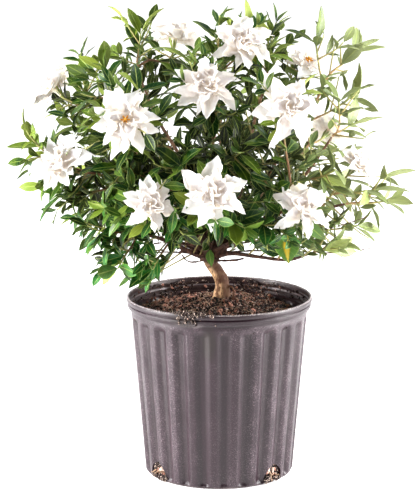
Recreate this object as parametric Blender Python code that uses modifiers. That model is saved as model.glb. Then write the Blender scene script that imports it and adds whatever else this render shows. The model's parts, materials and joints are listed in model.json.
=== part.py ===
"""A gardenia bonsai in a fluted nursery pot, in metres, +Z up, origin at the centre of the pot's foot.

The pot is a thin moulded shell with 24 flutes, a banded rim and four drain holes. It holds a mound of bark
soil. The trunk stands in a plain hole in the soil and forks into sixteen limbs. Leafy sprays grow from the
limbs, and double white blooms sit on the ends of some of their stems. Every leaf and petal is a thin closed
blade, sunk into the stem or hub that it grows from.
"""

import math
import random

import bmesh
import bpy
from mathutils import Matrix, Vector
from mathutils.bvhtree import BVHTree

MM = 0.001
UP = Vector((0, 0, 1))
SEED = 20

# Pot, in metres
POT_STEPS = 72
FLUTES = 24
FLUTE_DEPTH = 2.3 * MM
FLUTE_TURN = math.radians(3.5)
FLUTE_FLOOR = 7.4 * MM
FLUTE_TOP = 141 * MM
FLUTE_FADE = 3.4 * MM
WALL = 1.6 * MM
RIM_RADIUS = 82.5 * MM
POT_HEIGHT = 160 * MM
SHOULDER_RADIUS = 78.4 * MM
HEEL_RADIUS = 66.5 * MM
HEEL_HEIGHT = 4.0 * MM
FOOT_RADIUS = 62.5 * MM
DRAIN_ANGLES = (-54, 46, 126, 226)
DRAIN_HALF_WIDTH = 10.4 * MM
DRAIN_HALF_HEIGHT = 12 * MM
DRAIN_CENTRE_HEIGHT = 5 * MM
DRAIN_CUT_DEPTH = 26 * MM
DRAIN_SIDES = 14
SOFT_EDGE_ANGLE = math.radians(28)

# Soil
GAP = 0.35 * MM
SOIL_STEPS = 22
SOIL_EDGE_HEIGHT = 139 * MM
SOIL_MOUND = 18 * MM
SOIL_ROUGHNESS = 1.6 * MM
SOIL_WALL_CLEARANCE = FLUTE_DEPTH + WALL + 0.5 * MM
SOIL_RINGS = (14 * MM, 30 * MM, 46 * MM, 61 * MM)
TRUNK_HOLE_DEPTH = 80 * MM

# Trunk: points and radii in millimetres from the foot up
TRUNK_SIDES = 12
TRUNK = (
    ((2.5, 0, 112), 7.2), ((2.5, 0, 156), 7.2), ((3, 0, 165), 6.7), ((2.2, 0, 173.5), 6.2),
    ((-1.5, 0, 181), 5.8), ((-6, 0, 187), 5.6), ((-9, 0, 194), 5.8), ((-10, 0, 201), 4.6),
    ((-10, 0, 205), 2.4),
)
TRUNK_FOOT = Vector(TRUNK[0][0]) * MM
TRUNK_FOOT_RADIUS = TRUNK[0][1] * MM

# Limbs: name, points in millimetres from the fork outwards, radius at the fork and at the end in millimetres
LIMBS = {
    "low_left": (((-9, -1, 194), (-28, -12, 208), (-55, -32, 219), (-86, -50, 226)), 2.8, 1.4),
    "left": (((-11, 0, 198), (-35, -8, 226), (-70, -20, 252), (-100, -28, 272)), 2.6, 1.3),
    "left_up": (((-10, 0, 200), (-32, -14, 245), (-60, -30, 290), (-82, -36, 322)), 2.5, 1.2),
    "back_left_up": (((-9, 2, 200), (-28, 20, 250), (-54, 34, 305), (-70, 30, 350)), 2.5, 1.2),
    "centre_up": (((-8, -1, 202), (-6, -11, 250), (-4, -22, 305), (-2, -18, 350)), 2.7, 1.3),
    "right_up": (((-7, 1, 201), (14, 9, 245), (33, 12, 300), (40, 10, 345)), 2.5, 1.2),
    "right_arch": (((-7, 1, 199), (26, 14, 238), (60, 22, 287), (84, 20, 327)), 2.5, 1.2),
    "right": (((-6, 0, 197), (32, -5, 224), (70, -14, 264), (97, -30, 306)), 2.6, 1.2),
    "right_low": (((-6, 0, 195), (30, 6, 212), (75, 10, 228), (112, 12, 240)), 2.6, 1.3),
    "low_right": (((-7, -2, 193), (20, -18, 201), (54, -36, 206), (80, -48, 208)), 2.4, 1.2),
    "front": (((-10, -3, 200), (-9, -35, 224), (-8, -68, 246), (-6, -90, 258)), 2.6, 1.3),
    "front_left": (((-11, -2, 198), (-28, -34, 218), (-44, -66, 236), (-54, -86, 247)), 2.5, 1.3),
    "front_right": (((-8, -3, 198), (16, -32, 220), (38, -60, 240), (56, -76, 252)), 2.5, 1.3),
    "back_left": (((-11, 2, 199), (-38, 35, 230), (-68, 70, 262), (-88, 95, 285)), 2.5, 1.2),
    "back": (((-9, 3, 200), (-8, 35, 235), (-4, 72, 280), (2, 95, 310)), 2.6, 1.2),
    "back_right": (((-7, 2, 199), (22, 36, 226), (54, 68, 255), (80, 92, 278)), 2.5, 1.2),
}

# Blooms: name, centre in millimetres, the way it faces, outer petal length in millimetres,
# how far the outer petals open from that way in degrees, number of inner petals, whether its stamens show
BLOOMS = {
    "upper_left": ((-148, 32, 341), (-0.75, 0.30, 0.58), 27, 72, 4, False),
    "front_left": ((-77, -120, 333), (0.00, -0.93, 0.36), 31, 84, 4, True),
    "top_left": ((-40, 80, 382), (0.10, 0.40, 0.90), 27, 78, 4, False),
    "top": ((20, -42, 389), (0.10, -0.80, 0.58), 29, 76, 4, False),
    "centre": ((-11, -92, 357), (-0.05, -0.80, 0.60), 29, 80, 4, False),
    "front_right": ((57, -112, 343), (0.20, -0.93, 0.30), 31, 86, 4, False),
    "left": ((-137, -52, 286), (-0.50, -0.72, 0.48), 28, 78, 4, False),
    "low_left": ((-57, -124, 264), (0.22, -0.90, 0.36), 25, 78, 4, False),
    "low_centre": ((-5, -132, 273), (-0.05, -0.94, 0.33), 30, 84, 4, False),
    "low_right": ((69, -108, 258), (0.30, -0.80, 0.52), 26, 80, 4, False),
    "right": ((124, 34, 272), (0.60, -0.25, 0.75), 24, 74, 4, False),
    "top_right": ((80, 58, 361), (0.30, -0.35, 0.88), 22, 78, 4, True),
    "back_left": ((-92, 128, 306), (-0.45, 0.78, 0.43), 28, 80, 4, False),
    "back_right": ((104, 122, 290), (0.56, 0.72, 0.42), 27, 80, 4, False),
}

# Sprays: limb, share of its length where the spray leaves it, and its stems. The first stem starts at the
# limb. A further stem starts from the first at the share given. A stem ends at a point in millimetres or at
# a bloom.
SPRAYS = (
    ("low_left", 1.0, ((0, (-124, -62, 220)), (0.35, (-104, -88, 252)))),
    ("low_left", 0.84, ((0, (-98, -88, 183)),)),
    ("low_left", 0.58, ((0, (-64, -96, 190)),)),
    ("left", 1.0, ((0, "left"), (0.30, (-182, -22, 311)))),
    ("left", 0.80, ((0, (-160, -38, 256)),)),
    ("left", 0.52, ((0, (-142, -12, 236)),)),
    ("left_up", 1.0, ((0, (-107, -28, 390)), (0.30, (-146, -22, 352)))),
    ("left_up", 0.78, ((0, "front_left"), (0.40, (-62, -92, 378)))),
    ("left_up", 0.50, ((0, (-102, -92, 296)),)),
    ("back_left_up", 1.0, ((0, (-68, 8, 416)), (0.25, "top_left"))),
    ("back_left_up", 0.80, ((0, "upper_left"), (0.45, (-132, 18, 378)))),
    ("back_left_up", 0.55, ((0, (-150, 66, 306)),)),
    ("centre_up", 1.0, ((0, "top"), (0.25, (-8, 22, 408)))),
    ("centre_up", 0.76, ((0, "centre"), (0.35, (-36, -48, 398)))),
    ("centre_up", 0.52, ((0, (28, -104, 308)),)),
    ("centre_up", 0.40, ((0, (-40, -112, 300)),)),
    ("right_up", 1.0, ((0, (45, 14, 412)), (0.30, (22, 70, 404)))),
    ("right_up", 0.80, ((0, "top_right"),)),
    ("right_arch", 1.0, ((0, (84, 0, 410)), (0.35, (137, 38, 390)))),
    ("right_arch", 0.78, ((0, (140, 38, 344)),)),
    ("right", 1.0, ((0, (134, -12, 326)), (0.30, (102, -58, 362)))),
    ("right", 0.66, ((0, (112, -84, 292)),)),
    ("right_low", 1.0, ((0, (174, 26, 242)), (0.35, (158, 0, 284)))),
    ("right_low", 0.78, ((0, "right"), (0.30, (146, -30, 262)))),
    ("right_low", 0.56, ((0, (150, 6, 220)),)),
    ("low_right", 1.0, ((0, (124, -56, 226)), (0.35, (98, -82, 214)))),
    ("low_right", 0.66, ((0, (54, -94, 220)),)),
    ("front", 1.0, ((0, "low_centre"), (0.15, (-34, -128, 254)))),
    ("front", 0.62, ((0, (24, -118, 244)),)),
    ("front_left", 1.0, ((0, "low_left"), (0.20, (-92, -112, 278)))),
    ("front_right", 1.0, ((0, "low_right"), (0.25, "front_right"))),
    ("front_right", 0.72, ((0, (32, -122, 246)),)),
    ("back_left", 1.0, ((0, "back_left"), (0.25, (-60, 136, 268)))),
    ("back_left", 0.70, ((0, (-134, 78, 246)),)),
    ("back", 1.0, ((0, (4, 140, 352)), (0.25, (-52, 116, 350)))),
    ("back", 0.62, ((0, (12, 128, 258)), (0.4, (44, 108, 330)))),
    ("back_right", 1.0, ((0, "back_right"), (0.25, (50, 138, 286)))),
    ("back_right", 0.70, ((0, (132, 80, 240)),)),
)

LIMB_WOBBLE = 8 * MM
LIMB_RINGS = 5

# Stems
STEM_RADIUS = 1.05 * MM
STEM_TIP_RADIUS = 0.75 * MM
STEM_RINGS = 4
STEM_BEND_STEP = 0.7 * MM
LEAST_FORK_ANGLE = math.radians(38)
TIP_LIFT = 0.30
TIP_DROOP = 0.25
CALYX_RADIUS = 2.0 * MM
CALYX_LENGTH = 5 * MM

# Leaves. A level is its share of the stem, how many leaves it has, their lean in degrees and their
# length in millimetres. A long stem has one level more.
TIP_LEAF_REACH = 27 * MM
LEAF_WIDTH_SHARE = 0.37
BLOOM_STEM_LEVELS = ((0.70, 2, 62, 32),)
BLOOM_STEM_EXTRA_LEVEL = (0.40, 2, 58, 30)
BLOOM_STEM_LONG = 60 * MM
LEAFY_STEM_LEVELS = ((0.985, 3, 36, 32), (0.60, 2, 54, 33))
LEAFY_STEM_EXTRA_LEVEL = (0.30, 2, 60, 30)
LEAFY_STEM_SHORT = 60 * MM
LEAFY_STEM_LONG = 116 * MM

# Blooms: the lean of the inner petals in degrees, and widths and starts of petals
TUBE_LENGTH = 11 * MM
TUBE_RADIUS = 1.7 * MM
TUBE_SIDES = 6
HUB_RADIUS = 3.6 * MM
OUTER_PETALS = 6
ANTHERS = 5
INNER_LEAN = (36, 50)
OPEN_HEART_LEAN = 14
PETAL_TILT = (0.30, 0.42)
OUTER_PETAL_WIDTH_SHARE = 0.54
INNER_PETAL_WIDTH_SHARE = 0.56
OUTER_PETAL_START = (1.6 * MM, -2.4 * MM)
INNER_PETAL_START = (2.0 * MM, -0.8 * MM)

# Outlines of blades, as shares of length and width
BLADE_THICKNESS = 0.7 * MM
LEAF_OUTLINE = ((0, 0), (0.34, 0.90), (0.68, 0.86), (1, 0))
SMALL_LEAF_OUTLINE = ((0, 0), (0.50, 1.10), (1, 0))
OUTER_PETAL_OUTLINE = ((0, 0), (0.34, 0.86), (0.64, 0.96), (1, 0))
INNER_PETAL_OUTLINE = ((0, 0), (0.54, 1.08), (1, 0))
CLEARANCE = 0.45 * MM
TRIES = 40

# The crown: its middle, how low its leaves hang from left to right, and how much the hem rises to the front
CROWN_MIDDLE = Vector((-6, 0, 278)) * MM
CROWN_HEM = ((-60 * MM, 160 * MM), (-40 * MM, 191 * MM))
HEM_RISE = 0.3


def clear_scene():
    for found in list(bpy.data.objects):
        bpy.data.objects.remove(found)


def collection_named(name):
    made = bpy.data.collections.new(name)
    bpy.context.scene.collection.children.link(made)
    return made


def material(name, colour, roughness):
    made = bpy.data.materials.new(name)
    made.use_nodes = True
    shader = made.node_tree.nodes["Principled BSDF"]
    shader.inputs["Base Color"].default_value = (*colour, 1)
    shader.inputs["Roughness"].default_value = roughness
    made.diffuse_color = (*colour, 1)
    return made


clear_scene()
PARTS = collection_named("gardenia_bonsai")
CUTTERS = collection_named("cutters")
PLASTIC = material("pot_plastic", (0.10, 0.085, 0.09), 0.55)
BARK_SOIL = material("bark_soil", (0.09, 0.045, 0.03), 0.95)
BARK = material("bark", (0.36, 0.22, 0.12), 0.85)
LEAF_GREEN = material("leaf_green", (0.06, 0.17, 0.03), 0.35)
PETAL_WHITE = material("petal_white", (0.88, 0.85, 0.80), 0.6)
POLLEN = material("pollen", (0.72, 0.34, 0.05), 0.7)


def mm(point):
    return Vector(point) * MM


def add_object(name, mesh, finish=None, collection=PARTS):
    made = bpy.data.objects.new(name, mesh)
    collection.objects.link(made)
    if finish:
        mesh.materials.clear()
        mesh.materials.append(finish)
    return made


def evaluated_mesh(obj):
    bpy.context.view_layer.update()
    graph = bpy.context.evaluated_depsgraph_get()
    return bpy.data.meshes.new_from_object(obj.evaluated_get(graph))


def mesh_from(bm, name):
    mesh = bpy.data.meshes.new(name)
    bm.to_mesh(mesh)
    bm.free()
    return mesh


def joined(base, pieces, finish):
    """base with the pieces fused into it by one Boolean union, applied. The pieces' objects are removed."""
    group = collection_named(base.name + "_pieces")
    for number, mesh in enumerate(pieces):
        add_object(f"{base.name}_piece_{number}", mesh, collection=group)
    union = base.modifiers.new("union", "BOOLEAN")
    union.operation = "UNION"
    union.operand_type = "COLLECTION"
    union.collection = group
    union.solver = "MANIFOLD"
    fused = evaluated_mesh(base)
    base.modifiers.clear()
    base.data = fused
    fused.materials.clear()
    fused.materials.append(finish)
    for piece in list(group.objects):
        bpy.data.objects.remove(piece)
    bpy.data.collections.remove(group)


def cut(base, cutter):
    """Takes the cutter's shape out of base. The cutter stays hidden in its own collection."""
    cutter.hide_render = True
    cutter.display_type = "WIRE"
    difference = base.modifiers.new("cut_" + cutter.name, "BOOLEAN")
    difference.operation = "DIFFERENCE"
    difference.object = cutter


# Curves and tubes


def smooth_route(points, count):
    """count points along one smooth curve through the given points."""
    ends = [2 * points[0] - points[1], *points, 2 * points[-1] - points[-2]]
    spans = len(points) - 1
    route = []
    for step in range(count):
        place = step / (count - 1) * spans
        k = min(int(place), spans - 1)
        t = place - k
        a, b, c, d = ends[k : k + 4]
        bend = (2 * a - 5 * b + 4 * c - d) * t**2 + (3 * b - a - 3 * c + d) * t**3
        route.append((2 * b + (c - a) * t + bend) / 2)
    return route


def bent_route(start, start_way, end, end_way, count):
    """count points from start to end, leaving and arriving along the given ways."""
    reach = (end - start).length * 0.36
    b = start + start_way * reach
    c = end - end_way * reach
    route = []
    for step in range(count):
        t = step / (count - 1)
        s = 1 - t
        route.append(start * s**3 + b * 3 * s * s * t + c * 3 * s * t * t + end * t**3)
    return route


def place_on(route, share):
    """The point and the direction at this share of a route."""
    place = share * (len(route) - 1)
    k = min(int(place), len(route) - 2)
    return route[k].lerp(route[k + 1], place - k), (route[k + 1] - route[k]).normalized()


def tube_mesh(name, route, radii, bevel_resolution=1):
    """A closed tube along a route, from a curve with a bevel. Each point has its own radius."""
    curve = bpy.data.curves.new(name, "CURVE")
    curve.dimensions = "3D"
    curve.bevel_depth = 1
    curve.bevel_resolution = bevel_resolution
    curve.use_fill_caps = True
    spline = curve.splines.new("POLY")
    spline.points.add(len(route) - 1)
    for point, place, radius in zip(spline.points, route, radii):
        point.co = (*place, 1)
        point.radius = radius
    holder = add_object(name, curve)
    mesh = evaluated_mesh(holder)
    bpy.data.objects.remove(holder)
    bpy.data.curves.remove(curve)
    bm = bmesh.new()
    bm.from_mesh(mesh)
    bmesh.ops.remove_doubles(bm, verts=bm.verts[:], dist=1e-6)
    bm.to_mesh(mesh)
    bm.free()
    return mesh


# Blades


def across(way, face):
    """A turning matrix whose X runs along way and whose Z is as near to face as it can be."""
    side = face.cross(way)
    if side.length < 1e-6:
        side = way.orthogonal()
    side.normalize()
    return Matrix((way, side, way.cross(side))).transposed().to_4x4()


def blade(base, way, face, length, width, outline, curl, grow=0.0):
    """A thin closed leaf or petal in a bmesh. Its pointed base is at base, it runs along way with its upper
    side to face, its outline gives the share of its width at shares of its length, and its tip bends down.
    grow makes it larger all round, to test that it is clear of other pieces."""
    bm = bmesh.new()
    last = len(outline) - 1
    bmesh.ops.create_grid(bm, x_segments=last, y_segments=1, size=1)
    ends = {0: [], last: []}
    for vert in bm.verts:
        row = round((vert.co.x + 1) * last / 2)
        along, spread = outline[row]
        half = spread * width / 2
        if row in ends:
            ends[row].append(vert)
        else:
            half += grow
        sag = curl * length * along**2
        reach = length * along + (grow if row == last else 0)
        vert.co = (reach, vert.co.y * half, BLADE_THICKNESS / 2 + grow - sag)
    for verts in ends.values():
        bmesh.ops.pointmerge(bm, verts=verts, merge_co=(verts[0].co + verts[1].co) / 2)
    bmesh.ops.triangulate(bm, faces=bm.faces[:], quad_method="FIXED")
    bmesh.ops.solidify(bm, geom=bm.faces[:], thickness=BLADE_THICKNESS + 2 * grow)
    bmesh.ops.transform(bm, matrix=Matrix.Translation(base) @ across(way, face), verts=bm.verts[:])
    return bm


class Room:
    """The pieces placed so far, as surface trees with their boxes, each with the name of its node."""

    def __init__(self):
        self.taken = []

    def add(self, node, tree, points):
        low = [min(p[k] for p in points) for k in range(3)]
        high = [max(p[k] for p in points) for k in range(3)]
        self.taken.append((node, tree, low, high))

    def add_mesh(self, node, mesh):
        points = [v.co.copy() for v in mesh.vertices]
        self.add(node, BVHTree.FromPolygons(points, [tuple(f.vertices) for f in mesh.polygons]), points)

    def add_bmesh(self, node, bm):
        self.add(node, BVHTree.FromBMesh(bm), [v.co for v in bm.verts])

    def free_for(self, tree, points, apart_from=()):
        """Whether this surface meets none of the pieces placed so far."""
        low = [min(p[k] for p in points) for k in range(3)]
        high = [max(p[k] for p in points) for k in range(3)]
        for node, other, other_low, other_high in self.taken:
            if node in apart_from:
                continue
            near = all(low[k] <= other_high[k] and high[k] >= other_low[k] for k in range(3))
            if near and tree.overlap(other):
                return False
        return True

    def free_for_mesh(self, mesh, apart_from=()):
        points = [v.co for v in mesh.vertices]
        tree = BVHTree.FromPolygons(points, [tuple(f.vertices) for f in mesh.polygons])
        return self.free_for(tree, points, apart_from)

    def free_for_bmesh(self, bm, apart_from=()):
        return self.free_for(BVHTree.FromBMesh(bm), [v.co for v in bm.verts], apart_from)


# Pot and soil


def wall_radius(height):
    """The body's outer radius at this height, on the lands between the flutes."""
    share = (height - HEEL_HEIGHT) / (FLUTE_TOP + FLUTE_FADE - HEEL_HEIGHT)
    return HEEL_RADIUS + (SHOULDER_RADIUS - HEEL_RADIUS) * share


def turned(name, profile, steps, finish):
    """A solid turned about Z from a profile of (radius, height) that runs down its outer side."""
    mesh = bpy.data.meshes.new(name)
    mesh.from_pydata([(r, 0, z) for r, z in profile], [(k, k + 1) for k in range(len(profile) - 1)], [])
    holder = add_object(name, mesh)
    screw = holder.modifiers.new("turn", "SCREW")
    screw.steps = screw.render_steps = steps
    screw.use_merge_vertices = True
    screw.merge_threshold = 1e-5
    solid = evaluated_mesh(holder)
    bpy.data.objects.remove(holder)
    bm = bmesh.new()
    bm.from_mesh(solid)
    bmesh.ops.remove_doubles(bm, verts=bm.verts[:], dist=1e-6)
    bm.to_mesh(solid)
    bm.free()
    return add_object(name, solid, finish)


def flute_share(height):
    """How much of the full flute depth there is at this height."""
    rise = (height - (FLUTE_FLOOR - FLUTE_FADE)) / FLUTE_FADE
    fall = (FLUTE_TOP + FLUTE_FADE - height) / FLUTE_FADE
    return max(0.0, min(1.0, rise, fall))


def build_pot():
    levels = (FLUTE_FLOOR - FLUTE_FADE, FLUTE_FLOOR, FLUTE_TOP, FLUTE_TOP + FLUTE_FADE)
    inner = [(wall_radius(z) - WALL, z) for z in levels[1:3]]
    outer = [(wall_radius(z), z) for z in reversed(levels)]
    bands = [
        (SHOULDER_RADIUS - WALL + 0.4 * MM, POT_HEIGHT - 9.6 * MM),
        (RIM_RADIUS - 3.2 * MM, POT_HEIGHT - 8.2 * MM),
        (RIM_RADIUS - 2.6 * MM, POT_HEIGHT),
        (RIM_RADIUS, POT_HEIGHT - 1.2 * MM),
        (RIM_RADIUS, POT_HEIGHT - 4.3 * MM),
        (RIM_RADIUS - 1.2 * MM, POT_HEIGHT - 5.0 * MM),
        (RIM_RADIUS - 0.7 * MM, POT_HEIGHT - 9.0 * MM),
        (SHOULDER_RADIUS + 0.5 * MM, POT_HEIGHT - 9.8 * MM),
    ]
    floor = [(0, WALL), (FOOT_RADIUS + 0.5 * MM, WALL)]
    foot = [(FOOT_RADIUS, 0), (0, 0)]
    pot = turned("pot", floor + inner + bands + outer + foot, POT_STEPS, PLASTIC)
    steps_per_flute = POT_STEPS // FLUTES
    pot.data.shade_smooth()
    pot.data.set_sharp_from_angle(angle=SOFT_EDGE_ANGLE)
    for edge in pot.data.edges:
        ends = [pot.data.vertices[k].co for k in edge.vertices]
        step = round(math.atan2(ends[0].y, ends[0].x) / math.tau * POT_STEPS)
        upright = abs(ends[0].z - ends[1].z) > FLUTE_TOP / 2
        if upright and step % steps_per_flute != 0:
            edge.use_edge_sharp = True
    for vert in pot.data.vertices:
        radius = math.hypot(vert.co.x, vert.co.y)
        turn = math.atan2(vert.co.y, vert.co.x)
        step = round(turn / math.tau * POT_STEPS)
        if step % steps_per_flute == 0 and radius > FOOT_RADIUS + MM:
            radius -= FLUTE_DEPTH * flute_share(vert.co.z)
        turn += FLUTE_TURN - math.pi / 2
        vert.co.x = radius * math.cos(turn)
        vert.co.y = radius * math.sin(turn)
    for number, degrees in enumerate(DRAIN_ANGLES):
        bm = bmesh.new()
        bmesh.ops.create_cone(
            bm, cap_ends=True, segments=DRAIN_SIDES, radius1=1, radius2=1, depth=DRAIN_CUT_DEPTH
        )
        way = Vector((math.sin(math.radians(degrees)), -math.cos(math.radians(degrees)), 0))
        middle = way * (HEEL_RADIUS + FOOT_RADIUS) / 2 + UP * DRAIN_CENTRE_HEIGHT
        size = Matrix.Diagonal((DRAIN_HALF_HEIGHT, DRAIN_HALF_WIDTH, 1, 1))
        turn = Matrix((UP, way.cross(UP), way)).transposed().to_4x4()
        bmesh.ops.transform(bm, matrix=Matrix.Translation(middle) @ turn @ size, verts=bm.verts[:])
        bmesh.ops.recalc_face_normals(bm, faces=bm.faces[:])
        cut(pot, add_object(f"drain_cutter_{number}", mesh_from(bm, "drain_cutter"), collection=CUTTERS))
    return pot


def soil_height(x, y):
    """The height of the soil's surface, a mound with lumps."""
    share = min(1.0, math.hypot(x, y) / (SHOULDER_RADIUS - SOIL_WALL_CLEARANCE))
    lumps = math.sin(x * 190 + 1.3) * math.cos(y * 170 - 0.4) + 0.6 * math.sin(x * 330 - y * 260)
    near_trunk = math.hypot(x - TRUNK_FOOT.x, y - TRUNK_FOOT.y) / (22 * MM)
    return SOIL_EDGE_HEIGHT + SOIL_MOUND * (1 - share**1.6) + SOIL_ROUGHNESS * lumps * min(1.0, near_trunk)


def build_soil():
    bottom = WALL + GAP
    rims = [(wall_radius(z) - SOIL_WALL_CLEARANCE, z) for z in (SOIL_EDGE_HEIGHT, HEEL_HEIGHT)]
    tops = [(r, SOIL_EDGE_HEIGHT) for r in (0, *SOIL_RINGS)]
    heel = [(FOOT_RADIUS - 2 * MM, bottom), (0, bottom)]
    soil = turned("soil", tops + rims + heel, SOIL_STEPS, BARK_SOIL)
    for vert in soil.data.vertices:
        if vert.co.z > SOIL_EDGE_HEIGHT - MM:
            vert.co.z = soil_height(vert.co.x, vert.co.y)
    bm = bmesh.new()
    radius = TRUNK_FOOT_RADIUS + GAP + 0.15 * MM
    bmesh.ops.create_cone(
        bm, cap_ends=True, segments=TRUNK_SIDES, radius1=radius, radius2=radius, depth=TRUNK_HOLE_DEPTH
    )
    middle = TRUNK_FOOT + UP * (TRUNK_HOLE_DEPTH / 2 - GAP)
    bmesh.ops.transform(bm, matrix=Matrix.Translation(middle), verts=bm.verts[:])
    cut(soil, add_object("trunk_hole_cutter", mesh_from(bm, "trunk_hole_cutter"), collection=CUTTERS))
    return soil


# Trunk and limbs


def limb_route(name):
    draw = random.Random(f"{SEED} limb {name}")
    points = [mm(p) for p in LIMBS[name][0]]
    for k in (1, 2):
        points[k] += Vector((draw.uniform(-1, 1), draw.uniform(-1, 1), draw.uniform(-1, 1))) * LIMB_WOBBLE
    return smooth_route(points, LIMB_RINGS)


def limb_radius(name, share):
    _, thick, thin = LIMBS[name]
    return (thick + (thin - thick) * share) * MM


def wood_tubes():
    """The trunk and then every limb, each a closed tube."""
    trunk = tube_mesh("trunk", [mm(p) for p, _ in TRUNK], [r * MM for _, r in TRUNK], bevel_resolution=4)
    limbs = []
    for name in LIMBS:
        points = limb_route(name)
        radii = [limb_radius(name, k / (len(points) - 1)) for k in range(len(points))]
        limbs.append(tube_mesh("limb_" + name, points, radii))
    return trunk, limbs


def build_wood(room):
    trunk, limbs = wood_tubes()
    for mesh in (trunk, *limbs):
        room.add_mesh("trunk_and_limbs", mesh)
    joined(add_object("trunk_and_limbs", trunk, BARK), limbs, BARK)


# Blooms


def petal_ways(name):
    """For each petal of a bloom: where it starts, its direction, its upper side, length, width, outline and
    curl. Every petal is tilted the same way, so that one edge lies over its neighbour and the other under."""
    centre, facing, length, opening, inner_count, open_heart = BLOOMS[name]
    draw = random.Random(f"{SEED} bloom {name}")
    axis = Vector(facing).normalized()
    centre = mm(centre)
    right = axis.cross(UP).normalized()
    rise = right.cross(axis)
    turn0 = draw.uniform(0, math.tau)
    found = []
    for count, outer in ((OUTER_PETALS, True), (inner_count, False)):
        for k in range(count):
            turn = turn0 + math.tau * (k + (0 if outer else 0.5)) / count + draw.uniform(-0.07, 0.07)
            side = right * math.cos(turn) + rise * math.sin(turn)
            lean = opening + draw.uniform(-12, 14) if outer else draw.uniform(*INNER_LEAN)
            if not outer and open_heart:
                lean += OPEN_HEART_LEAN
            lean = math.radians(lean)
            way = axis * math.cos(lean) + side * math.sin(lean)
            face = axis * math.sin(lean) - side * math.cos(lean)
            face = (face + axis.cross(side) * draw.uniform(*PETAL_TILT)).normalized()
            out, up = OUTER_PETAL_START if outer else INNER_PETAL_START
            start = centre + side * out + axis * up
            size = length * (draw.uniform(0.84, 1.12) if outer else draw.uniform(0.56, 0.68)) * MM
            width = size * (OUTER_PETAL_WIDTH_SHARE if outer else INNER_PETAL_WIDTH_SHARE)
            outline = OUTER_PETAL_OUTLINE if outer else INNER_PETAL_OUTLINE
            curl = draw.uniform(0.06, 0.24) if outer else draw.uniform(-0.1, 0.12)
            found.append((start, way, face, size, width, outline, curl))
    return found


def bloom_blades(name):
    """The tube of a bloom, widening to its hub, and then every petal, each a closed bmesh."""
    centre, facing, *_ = BLOOMS[name]
    axis = Vector(facing).normalized()
    tube = bmesh.new()
    bmesh.ops.create_cone(
        tube, cap_ends=True, segments=TUBE_SIDES, radius1=TUBE_RADIUS, radius2=HUB_RADIUS, depth=TUBE_LENGTH
    )
    turn = axis.to_track_quat("Z", "Y").to_matrix().to_4x4()
    seat = Matrix.Translation(mm(centre) - axis * TUBE_LENGTH / 2) @ turn
    bmesh.ops.transform(tube, matrix=seat, verts=tube.verts[:])
    return tube, [blade(*petal) for petal in petal_ways(name)]


def build_bloom(name, room):
    node = "bloom_" + name
    tube, petals = bloom_blades(name)
    for bm in (tube, *petals):
        room.add_bmesh(node, bm)
    hub = add_object(node, mesh_from(tube, node), PETAL_WHITE)
    joined(hub, [mesh_from(bm, node) for bm in petals], PETAL_WHITE)


def build_stamens(name):
    """The orange stigma of an open bloom, with anthers spread round it, standing on the hub."""
    centre, facing, *_ = BLOOMS[name]
    axis = Vector(facing).normalized()
    node = "stamens_" + name
    foot = mm(centre) + axis * GAP
    turn = axis.to_track_quat("Z", "Y").to_matrix().to_4x4()
    route = [foot + axis * height for height in (0, 3.4 * MM, 4.6 * MM)]
    stigma = add_object(node, tube_mesh(node, route, [1.0 * MM, 1.3 * MM, 0.5 * MM]), POLLEN)
    anthers = []
    for k in range(ANTHERS):
        way = Vector((math.cos(math.tau * k / ANTHERS), math.sin(math.tau * k / ANTHERS), 1.0)).normalized()
        way = turn.to_3x3() @ way
        start = foot + axis * 1.1 * MM
        anthers.append(tube_mesh(node, [start, start + way * 4.4 * MM], [0.45 * MM, 0.65 * MM], 0))
    joined(stigma, anthers, POLLEN)


# Sprays


def stem_start(limb, share, target):
    """Where a spray's first stem starts, just clear of its limb, and the way it leaves."""
    route = limb_route(limb)
    point, along = place_on(route, share)
    if share >= 1:
        return point + along * 2 * GAP, along
    way = (target - point).normalized()
    if way.angle(along) < LEAST_FORK_ANGLE:
        side = (way - along * way.dot(along)).normalized()
        way = along * math.cos(LEAST_FORK_ANGLE) + side * math.sin(LEAST_FORK_ANGLE)
    angle = way.angle(along)
    clear = limb_radius(limb, share) + GAP + STEM_RADIUS * abs(math.cos(angle))
    return point + way * clear / math.sin(angle), way


def stem_end(target):
    """Where a stem ends and the way it arrives: under a bloom's tube, or at a leafy tip."""
    if isinstance(target, str):
        centre, facing, *_ = BLOOMS[target]
        axis = Vector(facing).normalized()
        return mm(centre) - axis * (TUBE_LENGTH + GAP), axis
    return mm(target), None


def stem_route(start, start_way, target, shift, count=STEM_RINGS):
    end, end_way = stem_end(target)
    in_bloom = end_way is not None
    reach = end - start
    if in_bloom:
        end = end - end_way * CALYX_LENGTH
    else:
        lift = TIP_LIFT if reach.z > -12 * MM else -TIP_DROOP
        end = end - reach.normalized() * TIP_LEAF_REACH + shift * 0.4
        end_way = (reach.normalized() + UP * lift).normalized()
    route = bent_route(start, start_way, end, end_way, count)
    for k in range(1, count - 1):
        route[k] = route[k] + shift * math.sin(math.pi * k / (count - 1))
    if in_bloom:
        route.append(end + end_way * CALYX_LENGTH)
    return route


def stem_radii(target, count=STEM_RINGS, thick=STEM_RADIUS):
    radii = [thick + (STEM_TIP_RADIUS - thick) * k / (count - 1) for k in range(count)]
    if isinstance(target, str):
        radii.append(CALYX_RADIUS)
    return radii


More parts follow.
